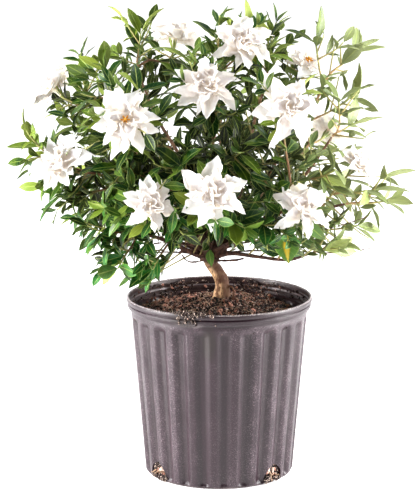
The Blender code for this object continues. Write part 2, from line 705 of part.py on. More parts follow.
def place_stems(sprays, room):
    """The route of every stem, each bent until it is clear of the wood, the blooms and the other stems."""
    found = []
    for number, (limb, share, stems) in enumerate(sprays):
        node = f"spray_{number + 1:02d}_{limb}"
        routes = []
        for from_share, target in stems:
            draw = random.Random(f"{SEED} stem {node} {len(routes)}")
            best = None
            for attempt in range(TRIES):
                if routes:
                    start, along = place_on(routes[0][0], from_share)
                    way = ((stem_end(target)[0] - start).normalized() + along * 0.7).normalized()
                else:
                    start, way = stem_start(limb, share, stem_end(target)[0])
                size = attempt * STEM_BEND_STEP
                shift = Vector((draw.uniform(-1, 1), draw.uniform(-1, 1), draw.uniform(-1, 1))) * size
                route = stem_route(start, way, target, shift)
                radii = stem_radii(target)
                mesh = tube_mesh(node, route, radii, 0)
                wide = tube_mesh(node, route[1:3], [r + CLEARANCE for r in radii[1:3]], 0)
                if room.free_for_mesh(mesh, (node,)) and room.free_for_mesh(wide, (node,)):
                    best = (route, mesh, target)
                    break
            if best is None:
                print("no clear way for", node, target)
                continue
            room.add_mesh(node, best[1])
            routes.append(best)
        found.append((node, routes))
    return found


def leaf_slots(route, target, draw):
    """For each leaf of a stem: its share of the stem, turn round it, lean from it, length and outline."""
    length = sum((b - a).length for a, b in zip(route, route[1:]))
    turn = draw.uniform(0, math.tau)
    if isinstance(target, str):
        levels = [*BLOOM_STEM_LEVELS]
        if length > BLOOM_STEM_LONG:
            levels.append(BLOOM_STEM_EXTRA_LEVEL)
    else:
        levels = [*LEAFY_STEM_LEVELS]
        if length > LEAFY_STEM_LONG:
            levels.append(LEAFY_STEM_EXTRA_LEVEL)
    slots = []
    for level, (share, count, lean, size) in enumerate(levels):
        if level == 1 and length < LEAFY_STEM_SHORT:
            count = 1
        for k in range(count):
            outline = LEAF_OUTLINE if level == 0 and k == 0 else SMALL_LEAF_OUTLINE
            around = turn + math.tau * k / count + draw.uniform(-0.2, 0.2)
            away = math.radians(lean + draw.uniform(-9, 9))
            slots.append((share - 0.012 * k, around, away, size * draw.uniform(0.8, 1.2) * MM, outline))
        turn += math.pi / 2
    return slots


def leaf_shape(route, slot, draw, attempt):
    """One leaf in its slot, as blade takes it. Later attempts turn and lean it further away."""
    share, turn, lean, length, outline = slot
    point, along = place_on(route, share)
    loose = min(1.0, attempt / 12)
    turn += draw.uniform(-1.2, 1.2) * loose
    lean += draw.uniform(-0.5, 0.7) * loose
    length *= 1 - 0.25 * loose * draw.random()
    side_a = along.orthogonal().normalized()
    side_b = along.cross(side_a)
    side = side_a * math.cos(turn) + side_b * math.sin(turn)
    way = (along * math.cos(lean) + side * math.sin(lean)).normalized()
    outwards = (point - CROWN_MIDDLE).normalized()
    sway = Vector((draw.uniform(-1, 1), draw.uniform(-1, 1), 0))
    face = along * 0.3 + UP * 0.45 + outwards * 0.55 + sway * 0.25
    width = length * LEAF_WIDTH_SHARE * draw.uniform(0.9, 1.15)
    base = point + side * 0.35 * STEM_TIP_RADIUS
    return base, way, face, length, width, outline, draw.uniform(0.02, 0.24)


def hem_height(x, y):
    """How low a leaf may hang here. The crown hangs lowest on the left, and its hem rises to the front."""
    (left, low), (right, high) = CROWN_HEM
    share = max(0.0, min(1.0, (x - left) / (right - left)))
    return low + (high - low) * share + HEM_RISE * max(0.0, -y)


def place_leaves(stems, room):
    """The leaves of every spray, as blade takes them. A leaf that finds no clear place is left out."""
    found = {node: [] for node, _ in stems}
    trees = {node: [] for node, _ in stems}
    queue = []
    for node, routes in stems:
        for number, (route, _, target) in enumerate(routes):
            draw = random.Random(f"{SEED} leaves {node} {number}")
            for order, slot in enumerate(leaf_slots(route, target, draw)):
                queue.append((order, node, number, route, slot))
    queue.sort(key=lambda entry: entry[0])
    for order, node, number, route, slot in queue:
        draw = random.Random(f"{SEED} leaf {node} {number} {order}")
        for attempt in range(TRIES):
            shape = leaf_shape(route, slot, draw, attempt)
            base, way, _, length, *_ = shape
            tip = base + way * length
            if tip.z < hem_height(tip.x, tip.y):
                continue
            wide = blade(*shape, grow=CLEARANCE)
            around = BVHTree.FromBMesh(wide)
            fits = room.free_for_bmesh(wide, (node,))
            fits = fits and not any(tree.overlap(around) for tree in trees[node])
            wide.free()
            if fits:
                slim = blade(*shape)
                room.add_bmesh(node, slim)
                trees[node].append(BVHTree.FromBMesh(slim))
                slim.free()
                found[node].append(shape)
                break
    return found


def build_sprays(room):
    stems = place_stems(SPRAYS, room)
    leaves = place_leaves(stems, room)
    for node, routes in stems:
        pieces = [mesh for _, mesh, _ in routes[1:]]
        pieces += [mesh_from(blade(*shape), node) for shape in leaves[node]]
        joined(add_object(node, routes[0][1], LEAF_GREEN), pieces, LEAF_GREEN)


room = Room()
build_pot()
build_soil()
build_wood(room)
for bloom in BLOOMS:
    build_bloom(bloom, room)
for bloom, facts in BLOOMS.items():
    if facts[-1]:
        build_stamens(bloom)
build_sprays(room)
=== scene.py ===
"""A gardenia bonsai in its nursery pot, in metres, +Z up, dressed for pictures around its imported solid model.

Every solid is replaced by a finer piece that stands in the same place: a fluted pot with its rim and drain
holes, bark soil with chips and fibres, rough wood, leafy sprays and double white blooms. The stems and the
first leaves follow the same rules as the solids. More leaves, side shoots and petals are then added between
them.
"""

import json
import math
import random

import bmesh
import bpy
import numpy as np
from mathutils import Matrix, Vector, noise
from mathutils.bvhtree import BVHTree

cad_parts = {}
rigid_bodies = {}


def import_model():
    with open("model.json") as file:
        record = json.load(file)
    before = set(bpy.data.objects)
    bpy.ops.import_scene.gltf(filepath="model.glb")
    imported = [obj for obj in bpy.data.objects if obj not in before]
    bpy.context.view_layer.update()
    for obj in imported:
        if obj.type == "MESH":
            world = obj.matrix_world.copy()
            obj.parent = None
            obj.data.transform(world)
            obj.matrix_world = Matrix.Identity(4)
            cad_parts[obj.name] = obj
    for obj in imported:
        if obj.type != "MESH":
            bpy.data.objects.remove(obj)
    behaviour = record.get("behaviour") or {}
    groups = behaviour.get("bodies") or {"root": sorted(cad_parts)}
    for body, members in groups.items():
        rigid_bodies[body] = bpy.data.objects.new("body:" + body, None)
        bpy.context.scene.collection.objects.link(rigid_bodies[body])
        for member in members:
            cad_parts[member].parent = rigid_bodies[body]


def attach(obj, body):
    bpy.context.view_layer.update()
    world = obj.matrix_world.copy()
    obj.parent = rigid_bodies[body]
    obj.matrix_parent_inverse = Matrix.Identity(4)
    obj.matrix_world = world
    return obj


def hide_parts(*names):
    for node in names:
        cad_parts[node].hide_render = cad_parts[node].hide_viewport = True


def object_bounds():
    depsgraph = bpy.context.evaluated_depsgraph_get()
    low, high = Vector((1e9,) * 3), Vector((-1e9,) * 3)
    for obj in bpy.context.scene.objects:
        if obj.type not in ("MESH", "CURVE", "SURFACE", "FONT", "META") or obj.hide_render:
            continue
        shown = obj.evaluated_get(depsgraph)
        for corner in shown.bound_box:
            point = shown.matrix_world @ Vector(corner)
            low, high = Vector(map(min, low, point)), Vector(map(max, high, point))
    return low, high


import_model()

CAD_BOX = [[float(v) for v in corner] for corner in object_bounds()]

MM = 0.001
UP = Vector((0, 0, 1))
SEED = 20

# Pot, in metres
FLUTES = 24
FLUTE_DEPTH = 2.3 * MM
FLUTE_TURN = math.radians(3.5)
FLUTE_TOP = 141 * MM
FLUTE_FADE = 3.4 * MM
WALL = 1.6 * MM
RIM_RADIUS = 82.5 * MM
POT_HEIGHT = 160 * MM
SHOULDER_RADIUS = 78.4 * MM
HEEL_RADIUS = 66.5 * MM
HEEL_HEIGHT = 4.0 * MM
FOOT_RADIUS = 62.5 * MM
DRAIN_ANGLES = (-54, 46, 126, 226)
DRAIN_HALF_WIDTH = 10.4 * MM
DRAIN_HALF_HEIGHT = 12 * MM
DRAIN_CENTRE_HEIGHT = 5 * MM

# Soil
GAP = 0.35 * MM
SOIL_EDGE_HEIGHT = 139 * MM
SOIL_MOUND = 18 * MM
SOIL_ROUGHNESS = 1.6 * MM
SOIL_WALL_CLEARANCE = FLUTE_DEPTH + WALL + 0.5 * MM

# Trunk: points and radii in millimetres from the foot up
TRUNK = (
    ((2.5, 0, 112), 7.2), ((2.5, 0, 156), 7.2), ((3, 0, 165), 6.7), ((2.2, 0, 173.5), 6.2),
    ((-1.5, 0, 181), 5.8), ((-6, 0, 187), 5.6), ((-9, 0, 194), 5.8), ((-10, 0, 201), 4.6), ((-10, 0, 205), 2.4),
)
TRUNK_FOOT = Vector(TRUNK[0][0]) * MM
TRUNK_FOOT_RADIUS = TRUNK[0][1] * MM

# Limbs: name, points in millimetres from the fork outwards, radius at the fork and at the end in millimetres
LIMBS = {
    "low_left": (((-9, -1, 194), (-28, -12, 208), (-55, -32, 219), (-86, -50, 226)), 2.8, 1.4),
    "left": (((-11, 0, 198), (-35, -8, 226), (-70, -20, 252), (-100, -28, 272)), 2.6, 1.3),
    "left_up": (((-10, 0, 200), (-32, -14, 245), (-60, -30, 290), (-82, -36, 322)), 2.5, 1.2),
    "back_left_up": (((-9, 2, 200), (-28, 20, 250), (-54, 34, 305), (-70, 30, 350)), 2.5, 1.2),
    "centre_up": (((-8, -1, 202), (-6, -11, 250), (-4, -22, 305), (-2, -18, 350)), 2.7, 1.3),
    "right_up": (((-7, 1, 201), (14, 9, 245), (33, 12, 300), (40, 10, 345)), 2.5, 1.2),
    "right_arch": (((-7, 1, 199), (26, 14, 238), (60, 22, 287), (84, 20, 327)), 2.5, 1.2),
    "right": (((-6, 0, 197), (32, -5, 224), (70, -14, 264), (97, -30, 306)), 2.6, 1.2),
    "right_low": (((-6, 0, 195), (30, 6, 212), (75, 10, 228), (112, 12, 240)), 2.6, 1.3),
    "low_right": (((-7, -2, 193), (20, -18, 201), (54, -36, 206), (80, -48, 208)), 2.4, 1.2),
    "front": (((-10, -3, 200), (-9, -35, 224), (-8, -68, 246), (-6, -90, 258)), 2.6, 1.3),
    "front_left": (((-11, -2, 198), (-28, -34, 218), (-44, -66, 236), (-54, -86, 247)), 2.5, 1.3),
    "front_right": (((-8, -3, 198), (16, -32, 220), (38, -60, 240), (56, -76, 252)), 2.5, 1.3),
    "back_left": (((-11, 2, 199), (-38, 35, 230), (-68, 70, 262), (-88, 95, 285)), 2.5, 1.2),
    "back": (((-9, 3, 200), (-8, 35, 235), (-4, 72, 280), (2, 95, 310)), 2.6, 1.2),
    "back_right": (((-7, 2, 199), (22, 36, 226), (54, 68, 255), (80, 92, 278)), 2.5, 1.2),
}

# Blooms: name, centre in millimetres, the way it faces, outer petal length in millimetres,
# how far the outer petals open from that way in degrees, number of inner petals, whether its stamens show
BLOOMS = {
    "upper_left": ((-148, 32, 341), (-0.75, 0.30, 0.58), 27, 72, 4, False),
    "front_left": ((-77, -120, 333), (0.00, -0.93, 0.36), 31, 84, 4, True),
    "top_left": ((-40, 80, 382), (0.10, 0.40, 0.90), 27, 78, 4, False),
    "top": ((20, -42, 389), (0.10, -0.80, 0.58), 29, 76, 4, False),
    "centre": ((-11, -92, 357), (-0.05, -0.80, 0.60), 29, 80, 4, False),
    "front_right": ((57, -112, 343), (0.20, -0.93, 0.30), 31, 86, 4, False),
    "left": ((-137, -52, 286), (-0.50, -0.72, 0.48), 28, 78, 4, False),
    "low_left": ((-57, -124, 264), (0.22, -0.90, 0.36), 25, 78, 4, False),
    "low_centre": ((-5, -132, 273), (-0.05, -0.94, 0.33), 30, 84, 4, False),
    "low_right": ((69, -108, 258), (0.30, -0.80, 0.52), 26, 80, 4, False),
    "right": ((124, 34, 272), (0.60, -0.25, 0.75), 24, 74, 4, False),
    "top_right": ((80, 58, 361), (0.30, -0.35, 0.88), 22, 78, 4, True),
    "back_left": ((-92, 128, 306), (-0.45, 0.78, 0.43), 28, 80, 4, False),
    "back_right": ((104, 122, 290), (0.56, 0.72, 0.42), 27, 80, 4, False),
}

# Sprays: limb, share of its length where the spray leaves it, and its stems. The first stem starts at the limb.
# A further stem starts from the first at the share given. A stem ends at a point in millimetres or at a bloom.
SPRAYS = (
    ("low_left", 1.0, ((0, (-124, -62, 220)), (0.35, (-104, -88, 252)))),
    ("low_left", 0.84, ((0, (-98, -88, 183)),)),
    ("low_left", 0.58, ((0, (-64, -96, 190)),)),
    ("left", 1.0, ((0, "left"), (0.30, (-182, -22, 311)))),
    ("left", 0.80, ((0, (-160, -38, 256)),)),
    ("left", 0.52, ((0, (-142, -12, 236)),)),
    ("left_up", 1.0, ((0, (-107, -28, 390)), (0.30, (-146, -22, 352)))),
    ("left_up", 0.78, ((0, "front_left"), (0.40, (-62, -92, 378)))),
    ("left_up", 0.50, ((0, (-102, -92, 296)),)),
    ("back_left_up", 1.0, ((0, (-68, 8, 416)), (0.25, "top_left"))),
    ("back_left_up", 0.80, ((0, "upper_left"), (0.45, (-132, 18, 378)))),
    ("back_left_up", 0.55, ((0, (-150, 66, 306)),)),
    ("centre_up", 1.0, ((0, "top"), (0.25, (-8, 22, 408)))),
    ("centre_up", 0.76, ((0, "centre"), (0.35, (-36, -48, 398)))),
    ("centre_up", 0.52, ((0, (28, -104, 308)),)),
    ("centre_up", 0.40, ((0, (-40, -112, 300)),)),
    ("right_up", 1.0, ((0, (45, 14, 412)), (0.30, (22, 70, 404)))),
    ("right_up", 0.80, ((0, "top_right"),)),
    ("right_arch", 1.0, ((0, (84, 0, 410)), (0.35, (137, 38, 390)))),
    ("right_arch", 0.78, ((0, (140, 38, 344)),)),
    ("right", 1.0, ((0, (134, -12, 326)), (0.30, (102, -58, 362)))),
    ("right", 0.66, ((0, (112, -84, 292)),)),
    ("right_low", 1.0, ((0, (174, 26, 242)), (0.35, (158, 0, 284)))),
    ("right_low", 0.78, ((0, "right"), (0.30, (146, -30, 262)))),
    ("right_low", 0.56, ((0, (150, 6, 220)),)),
    ("low_right", 1.0, ((0, (124, -56, 226)), (0.35, (98, -82, 214)))),
    ("low_right", 0.66, ((0, (54, -94, 220)),)),
    ("front", 1.0, ((0, "low_centre"), (0.15, (-34, -128, 254)))),
    ("front", 0.62, ((0, (24, -118, 244)),)),
    ("front_left", 1.0, ((0, "low_left"), (0.20, (-92, -112, 278)))),
    ("front_right", 1.0, ((0, "low_right"), (0.25, "front_right"))),
    ("front_right", 0.72, ((0, (32, -122, 246)),)),
    ("back_left", 1.0, ((0, "back_left"), (0.25, (-60, 136, 268)))),
    ("back_left", 0.70, ((0, (-134, 78, 246)),)),
    ("back", 1.0, ((0, (4, 140, 352)), (0.25, (-52, 116, 350)))),
    ("back", 0.62, ((0, (12, 128, 258)), (0.4, (44, 108, 330)))),
    ("back_right", 1.0, ((0, "back_right"), (0.25, (50, 138, 286)))),
    ("back_right", 0.70, ((0, (132, 80, 240)),)),
)

LIMB_WOBBLE = 8 * MM
LIMB_RINGS = 5

# Stems
STEM_RADIUS = 1.05 * MM
STEM_TIP_RADIUS = 0.75 * MM
STEM_RINGS = 4
STEM_BEND_STEP = 0.7 * MM
LEAST_FORK_ANGLE = math.radians(38)
TIP_LIFT = 0.30
TIP_DROOP = 0.25
CALYX_RADIUS = 2.0 * MM
CALYX_LENGTH = 5 * MM

# Leaves. A level is its share of the stem, how many leaves it has, their lean in degrees and their
# length in millimetres. A long stem has one level more.
TIP_LEAF_REACH = 27 * MM
LEAF_WIDTH_SHARE = 0.37
BLOOM_STEM_LEVELS = ((0.70, 2, 62, 32),)
BLOOM_STEM_EXTRA_LEVEL = (0.40, 2, 58, 30)
BLOOM_STEM_LONG = 60 * MM
LEAFY_STEM_LEVELS = ((0.985, 3, 36, 32), (0.60, 2, 54, 33))
LEAFY_STEM_EXTRA_LEVEL = (0.30, 2, 60, 30)
LEAFY_STEM_SHORT = 60 * MM
LEAFY_STEM_LONG = 116 * MM

# Blooms: the lean of the inner petals in degrees, and widths and starts of petals
TUBE_LENGTH = 11 * MM
TUBE_RADIUS = 1.7 * MM
HUB_RADIUS = 3.6 * MM
OUTER_PETALS = 6
INNER_LEAN = (36, 50)
OPEN_HEART_LEAN = 14
PETAL_TILT = (0.30, 0.42)
OUTER_PETAL_WIDTH_SHARE = 0.54
INNER_PETAL_WIDTH_SHARE = 0.56
OUTER_PETAL_START = (1.6 * MM, -2.4 * MM)
INNER_PETAL_START = (2.0 * MM, -0.8 * MM)

# Outlines of blades, as shares of length and width
BLADE_THICKNESS = 0.7 * MM
LEAF_OUTLINE = ((0, 0), (0.34, 0.90), (0.68, 0.86), (1, 0))
SMALL_LEAF_OUTLINE = ((0, 0), (0.50, 1.10), (1, 0))
OUTER_PETAL_OUTLINE = ((0, 0), (0.34, 0.86), (0.64, 0.96), (1, 0))
INNER_PETAL_OUTLINE = ((0, 0), (0.54, 1.08), (1, 0))
CLEARANCE = 0.45 * MM
TRIES = 40

# The crown: its middle, how low its leaves hang from left to right, and how much higher its hem is towards
# the front. Then the most surfaces that one room holds, the places tried for a finer leaf, and the shoots
# that grow from each limb.
CROWN_MIDDLE = Vector((-6, 0, 278)) * MM
CROWN_HEM = ((-60 * MM, 160 * MM), (-40 * MM, 191 * MM))
HEM_RISE = 0.3
ROOM_SIZE = 6000
LEAF_TRIES = 4
INNER_SHOOTS = 8
INNER_ROUTE_POINTS = 24


def collection_named(name):
    made = bpy.data.collections.new(name)
    bpy.context.scene.collection.children.link(made)
    return made


WORKSHOP = collection_named("workshop")


def mm(point):
    """A point given in millimetres."""
    return Vector(point) * MM


def limited(value, low=0.0, high=1.0):
    """The value, or the nearer limit when it is outside them."""
    return max(low, min(high, value))


def stepped(low, high, count):
    """count values from low to high."""
    return [low + (high - low) * k / (count - 1) for k in range(count)]


def tapered(thick, first, step, count):
    """count radii, from this share of a thickness at the first, each one step less."""
    return [thick * (first - step * k) for k in range(count)]


def add_object(name, mesh):
    """An object on the workshop's bench, for shaping only."""
    made = bpy.data.objects.new(name, mesh)
    WORKSHOP.objects.link(made)
    return made


def baked(holder):
    """The mesh that an object's shaping gives, once the object itself is removed."""
    bpy.context.view_layer.update()
    graph = bpy.context.evaluated_depsgraph_get()
    mesh = bpy.data.meshes.new_from_object(holder.evaluated_get(graph))
    bpy.data.objects.remove(holder)
    return mesh


def mesh_from(bm, name):
    """A mesh made from a bmesh, which is used up."""
    mesh = bpy.data.meshes.new(name)
    bm.to_mesh(mesh)
    bm.free()
    return mesh


def merge_doubles(mesh, outwards=False):
    """Merges the points of a mesh that lie on one another. outwards also turns its faces outwards."""
    bm = bmesh.new()
    bm.from_mesh(mesh)
    bmesh.ops.remove_doubles(bm, verts=bm.verts[:], dist=1e-6)
    if outwards:
        bmesh.ops.recalc_face_normals(bm, faces=bm.faces[:])
    bm.to_mesh(mesh)
    bm.free()


# Curves and tubes


def smooth_route(points, count):
    """count points along one smooth curve through the given points."""
    ends = [2 * points[0] - points[1], *points, 2 * points[-1] - points[-2]]
    spans = len(points) - 1
    route = []
    for step in range(count):
        place = step / (count - 1) * spans
        k = min(int(place), spans - 1)
        t = place - k
        a, b, c, d = ends[k : k + 4]
        bend = (2 * a - 5 * b + 4 * c - d) * t**2 + (3 * b - a - 3 * c + d) * t**3
        route.append((2 * b + (c - a) * t + bend) / 2)
    return route


def bent_route(start, start_way, end, end_way, count):
    """count points from start to end, leaving and arriving along the given ways."""
    reach = (end - start).length * 0.36
    b = start + start_way * reach
    c = end - end_way * reach
    route = []
    for step in range(count):
        t = step / (count - 1)
        s = 1 - t
        route.append(start * s**3 + b * 3 * s * s * t + c * 3 * s * t * t + end * t**3)
    return route


def place_on(route, share):
    """The point and the direction at this share of a route."""
    place = share * (len(route) - 1)
    k = min(int(place), len(route) - 2)
    return route[k].lerp(route[k + 1], place - k), (route[k + 1] - route[k]).normalized()


def route_length(route):
    """The length of a route from point to point."""
    return sum((b - a).length for a, b in zip(route, route[1:]))


def scatter(draw):
    """A vector with each part drawn between -1 and 1."""
    return Vector((draw.uniform(-1, 1), draw.uniform(-1, 1), draw.uniform(-1, 1)))


def drawn(draw, ranges):
    """Each named value, drawn from its range."""
    return {name: draw.uniform(*limits) for name, limits in ranges.items()}


def side_of(along, turn):
    """The direction square to along at this turn round it."""
    first = along.orthogonal().normalized()
    return first * math.cos(turn) + along.cross(first) * math.sin(turn)


def level_way(turn, rise=0):
    """A direction at this turn about Z, level unless it has a rise."""
    return Vector((math.cos(turn), math.sin(turn), rise))


def round_pot(turn, out=1.0, height=0.0):
    """A place round the pot, with the turn counted from its front."""
    return Vector((out * math.sin(turn), -out * math.cos(turn), height))


def tube_mesh(name, route, radii, bevel_resolution=1):
    """A closed tube along a route. Each point has its own radius."""
    curve = bpy.data.curves.new(name, "CURVE")
    curve.dimensions = "3D"
    curve.bevel_depth = 1
    curve.bevel_resolution = bevel_resolution
    curve.use_fill_caps = True
    spline = curve.splines.new("POLY")
    spline.points.add(len(route) - 1)
    for point, place, radius in zip(spline.points, route, radii):
        point.co = (*place, 1)
        point.radius = radius
    mesh = baked(add_object(name, curve))
    bpy.data.curves.remove(curve)
    merge_doubles(mesh)
    return mesh


# Blades


def across(way, face):
    """A turning matrix whose X runs along way and whose Z is as near to face as it can be."""
    side = face.cross(way)
    if side.length < 1e-6:
        side = way.orthogonal()
    side.normalize()
    return Matrix((way, side, way.cross(side))).transposed().to_4x4()


def blade(base, way, face, length, width, outline, curl, grow=0.0):
    """A thin closed leaf or petal in a bmesh. Its pointed base is at base, it runs along way with its upper
    side to face, its outline gives the share of its width at shares of its length, and its tip bends down.
    grow makes it larger all round, to test that it is clear of other pieces."""
    bm = bmesh.new()
    last = len(outline) - 1
    bmesh.ops.create_grid(bm, x_segments=last, y_segments=1, size=1)
    ends = {0: [], last: []}
    for vert in bm.verts:
        row = round((vert.co.x + 1) * last / 2)
        along, spread = outline[row]
        half = spread * width / 2
        if row in ends:
            ends[row].append(vert)
        else:
            half += grow
        sag = curl * length * along**2
        reach = length * along + (grow if row == last else 0)
        vert.co = (reach, vert.co.y * half, BLADE_THICKNESS / 2 + grow - sag)
    for verts in ends.values():
        bmesh.ops.pointmerge(bm, verts=verts, merge_co=(verts[0].co + verts[1].co) / 2)
    bmesh.ops.triangulate(bm, faces=bm.faces[:], quad_method="FIXED")
    bmesh.ops.solidify(bm, geom=bm.faces[:], thickness=BLADE_THICKNESS + 2 * grow)
    bmesh.ops.transform(bm, matrix=Matrix.Translation(base) @ across(way, face), verts=bm.verts[:])
    return bm


def surface_of(shape):
    """The surface tree and the points of a mesh or bmesh."""
    if isinstance(shape, bmesh.types.BMesh):
        return BVHTree.FromBMesh(shape), [vert.co for vert in shape.verts]
    points = [vert.co.copy() for vert in shape.vertices]
    return BVHTree.FromPolygons(points, [tuple(face.vertices) for face in shape.polygons]), points


def box_of(points):
    """The three least and then the three greatest coordinates of these points."""
    return [pick(point[k] for point in points) for pick in (min, max) for k in range(3)]


class Room:
    """The pieces placed so far, as surface trees with their boxes, each with the name of its node."""

    def __init__(self):
        self.taken = []
        self.lows = np.zeros((ROOM_SIZE, 3))
        self.highs = np.zeros((ROOM_SIZE, 3))

    def add(self, node, shape):
        tree, points = surface_of(shape)
        box = box_of(points)
        count = len(self.taken)
        self.lows[count] = box[:3]
        self.highs[count] = box[3:]
        self.taken.append((node, tree))

    def free_for(self, shape, apart_from=()):
        """Whether this surface meets none of the pieces placed so far."""
        tree, points = surface_of(shape)
        box = np.array(box_of(points))
        count = len(self.taken)
        near = np.all((box[:3] <= self.highs[:count]) & (box[3:] >= self.lows[:count]), axis=1)
        for k in np.nonzero(near)[0]:
            node, other = self.taken[k]
            if node not in apart_from and tree.overlap(other):
                return False
        return True


# Pot and soil: what the wood and sprays stand in


def wall_radius(height):
    """The body's outer radius at this height, on the lands between the flutes."""
    share = (height - HEEL_HEIGHT) / (FLUTE_TOP + FLUTE_FADE - HEEL_HEIGHT)
    return HEEL_RADIUS + (SHOULDER_RADIUS - HEEL_RADIUS) * share


def soil_height(x, y):
    """The height of the soil's surface, a mound with lumps."""
    share = min(1.0, math.hypot(x, y) / (SHOULDER_RADIUS - SOIL_WALL_CLEARANCE))
    lumps = math.sin(x * 190 + 1.3) * math.cos(y * 170 - 0.4) + 0.6 * math.sin(x * 330 - y * 260)
    near_trunk = math.hypot(x - TRUNK_FOOT.x, y - TRUNK_FOOT.y) / (22 * MM)
    return SOIL_EDGE_HEIGHT + SOIL_MOUND * (1 - share**1.6) + SOIL_ROUGHNESS * lumps * min(1.0, near_trunk)


# Trunk and limbs


def limb_route(name):
    """The route of a limb, with its inner points moved a little aside."""
    draw = random.Random(f"{SEED} limb {name}")
    points = [mm(p) for p in LIMBS[name][0]]
    for k in (1, 2):
        points[k] += scatter(draw) * LIMB_WOBBLE
    return smooth_route(points, LIMB_RINGS)


def limb_radius(name, share):
    """The radius of a limb at this share of its length."""
    _, thick, thin = LIMBS[name]
    return (thick + (thin - thick) * share) * MM


def wood_tubes():
    """The trunk and then every limb, each a closed tube."""
    tubes = [tube_mesh("trunk", [mm(p) for p, _ in TRUNK], [r * MM for _, r in TRUNK], bevel_resolution=4)]
    for name in LIMBS:
        points = limb_route(name)
        radii = [limb_radius(name, share) for share in stepped(0, 1, LIMB_RINGS)]
        tubes.append(tube_mesh("limb_" + name, points, radii))
    return tubes


# Blooms


def bloom_axes(name):
    """The middle of a bloom, the way it faces, and the ways right and up across it."""
    centre, facing = BLOOMS[name][:2]
    axis = Vector(facing).normalized()
    right = axis.cross(UP).normalized()
    return mm(centre), axis, right, right.cross(axis)


def petal_lie(axes, turn, lean, tilt):
    """For a petal at this turn and lean in degrees: the way to its side of the bloom, its direction and face."""
    _, axis, right, rise = axes
    side = right * math.cos(turn) + rise * math.sin(turn)
    lean = math.radians(lean)
    way = axis * math.cos(lean) + side * math.sin(lean)
    face = axis * math.sin(lean) - side * math.cos(lean) + axis.cross(side) * tilt
    return side, way, face.normalized()


def petal_ways(name):
    """For each petal of a bloom: where it starts, its direction, its upper side, length, width, outline and
    curl. Every petal is tilted the same way, so that one edge lies over its neighbour and the other under."""
    _, _, length, opening, inner_count, open_heart = BLOOMS[name]
    axes = bloom_axes(name)
    draw = random.Random(f"{SEED} bloom {name}")
    turn0 = draw.uniform(0, math.tau)
    found = []
    for count, outer in ((OUTER_PETALS, True), (inner_count, False)):
        for k in range(count):
            turn = turn0 + math.tau * (k + (0 if outer else 0.5)) / count + draw.uniform(-0.07, 0.07)
            lean = opening + draw.uniform(-12, 14) if outer else draw.uniform(*INNER_LEAN)
            if not outer and open_heart:
                lean += OPEN_HEART_LEAN
            side, way, face = petal_lie(axes, turn, lean, draw.uniform(*PETAL_TILT))
            out, up = OUTER_PETAL_START if outer else INNER_PETAL_START
            start = axes[0] + side * out + axes[1] * up
            size = length * (draw.uniform(0.84, 1.12) if outer else draw.uniform(0.56, 0.68)) * MM
            width = size * (OUTER_PETAL_WIDTH_SHARE if outer else INNER_PETAL_WIDTH_SHARE)
            outline = OUTER_PETAL_OUTLINE if outer else INNER_PETAL_OUTLINE
            curl = draw.uniform(0.06, 0.24) if outer else draw.uniform(-0.1, 0.12)
            found.append((start, way, face, size, width, outline, curl))
    return found


def bloom_blades(name):
    """The tube of a bloom, widening to its hub, and then every petal, each a closed bmesh."""
    centre, axis, *_ = bloom_axes(name)
    tube = bmesh.new()
    bmesh.ops.create_cone(
        tube, cap_ends=True, segments=6, radius1=TUBE_RADIUS, radius2=HUB_RADIUS, depth=TUBE_LENGTH
    )
    turn = axis.to_track_quat("Z", "Y").to_matrix().to_4x4()
    seat = Matrix.Translation(centre - axis * TUBE_LENGTH / 2) @ turn
    bmesh.ops.transform(tube, matrix=seat, verts=tube.verts[:])
    return [tube, *(blade(*petal) for petal in petal_ways(name))]


# Sprays


def stem_start(limb, share, target):
    """Where a spray's first stem starts, just clear of its limb, and the way it leaves."""
    route = limb_route(limb)
    point, along = place_on(route, share)
    if share >= 1:
        return point + along * 2 * GAP, along
    way = (target - point).normalized()
    if way.angle(along) < LEAST_FORK_ANGLE:
        side = (way - along * way.dot(along)).normalized()
        way = along * math.cos(LEAST_FORK_ANGLE) + side * math.sin(LEAST_FORK_ANGLE)
    angle = way.angle(along)
    clear = limb_radius(limb, share) + GAP + STEM_RADIUS * abs(math.cos(angle))
    return point + way * clear / math.sin(angle), way


def stem_end(target):
    """Where a stem ends and the way it arrives: under a bloom's tube, or at a leafy tip."""
    if isinstance(target, str):
        centre, axis, *_ = bloom_axes(target)
        return centre - axis * (TUBE_LENGTH + GAP), axis
    return mm(target), None


def stem_route(start, start_way, target, shift):
    """The route of a stem to its target, bent aside by shift. Under a bloom it ends in a straight calyx."""
    end, end_way = stem_end(target)
    in_bloom = end_way is not None
    reach = end - start
    if in_bloom:
        end = end - end_way * CALYX_LENGTH
    else:
        lift = TIP_LIFT if reach.z > -12 * MM else -TIP_DROOP
        end = end - reach.normalized() * TIP_LEAF_REACH + shift * 0.4
        end_way = (reach.normalized() + UP * lift).normalized()
    route = bent_route(start, start_way, end, end_way, STEM_RINGS)
    for k in range(1, STEM_RINGS - 1):
        route[k] = route[k] + shift * math.sin(math.pi * k / (STEM_RINGS - 1))
    if in_bloom:
        route.append(end + end_way * CALYX_LENGTH)
    return route


def stem_radii(target):
    """The radii along a stem, with a wider calyx at its end if it holds a bloom."""
    radii = stepped(STEM_RADIUS, STEM_TIP_RADIUS, STEM_RINGS)
    if isinstance(target, str):
        radii.append(CALYX_RADIUS)
    return radii


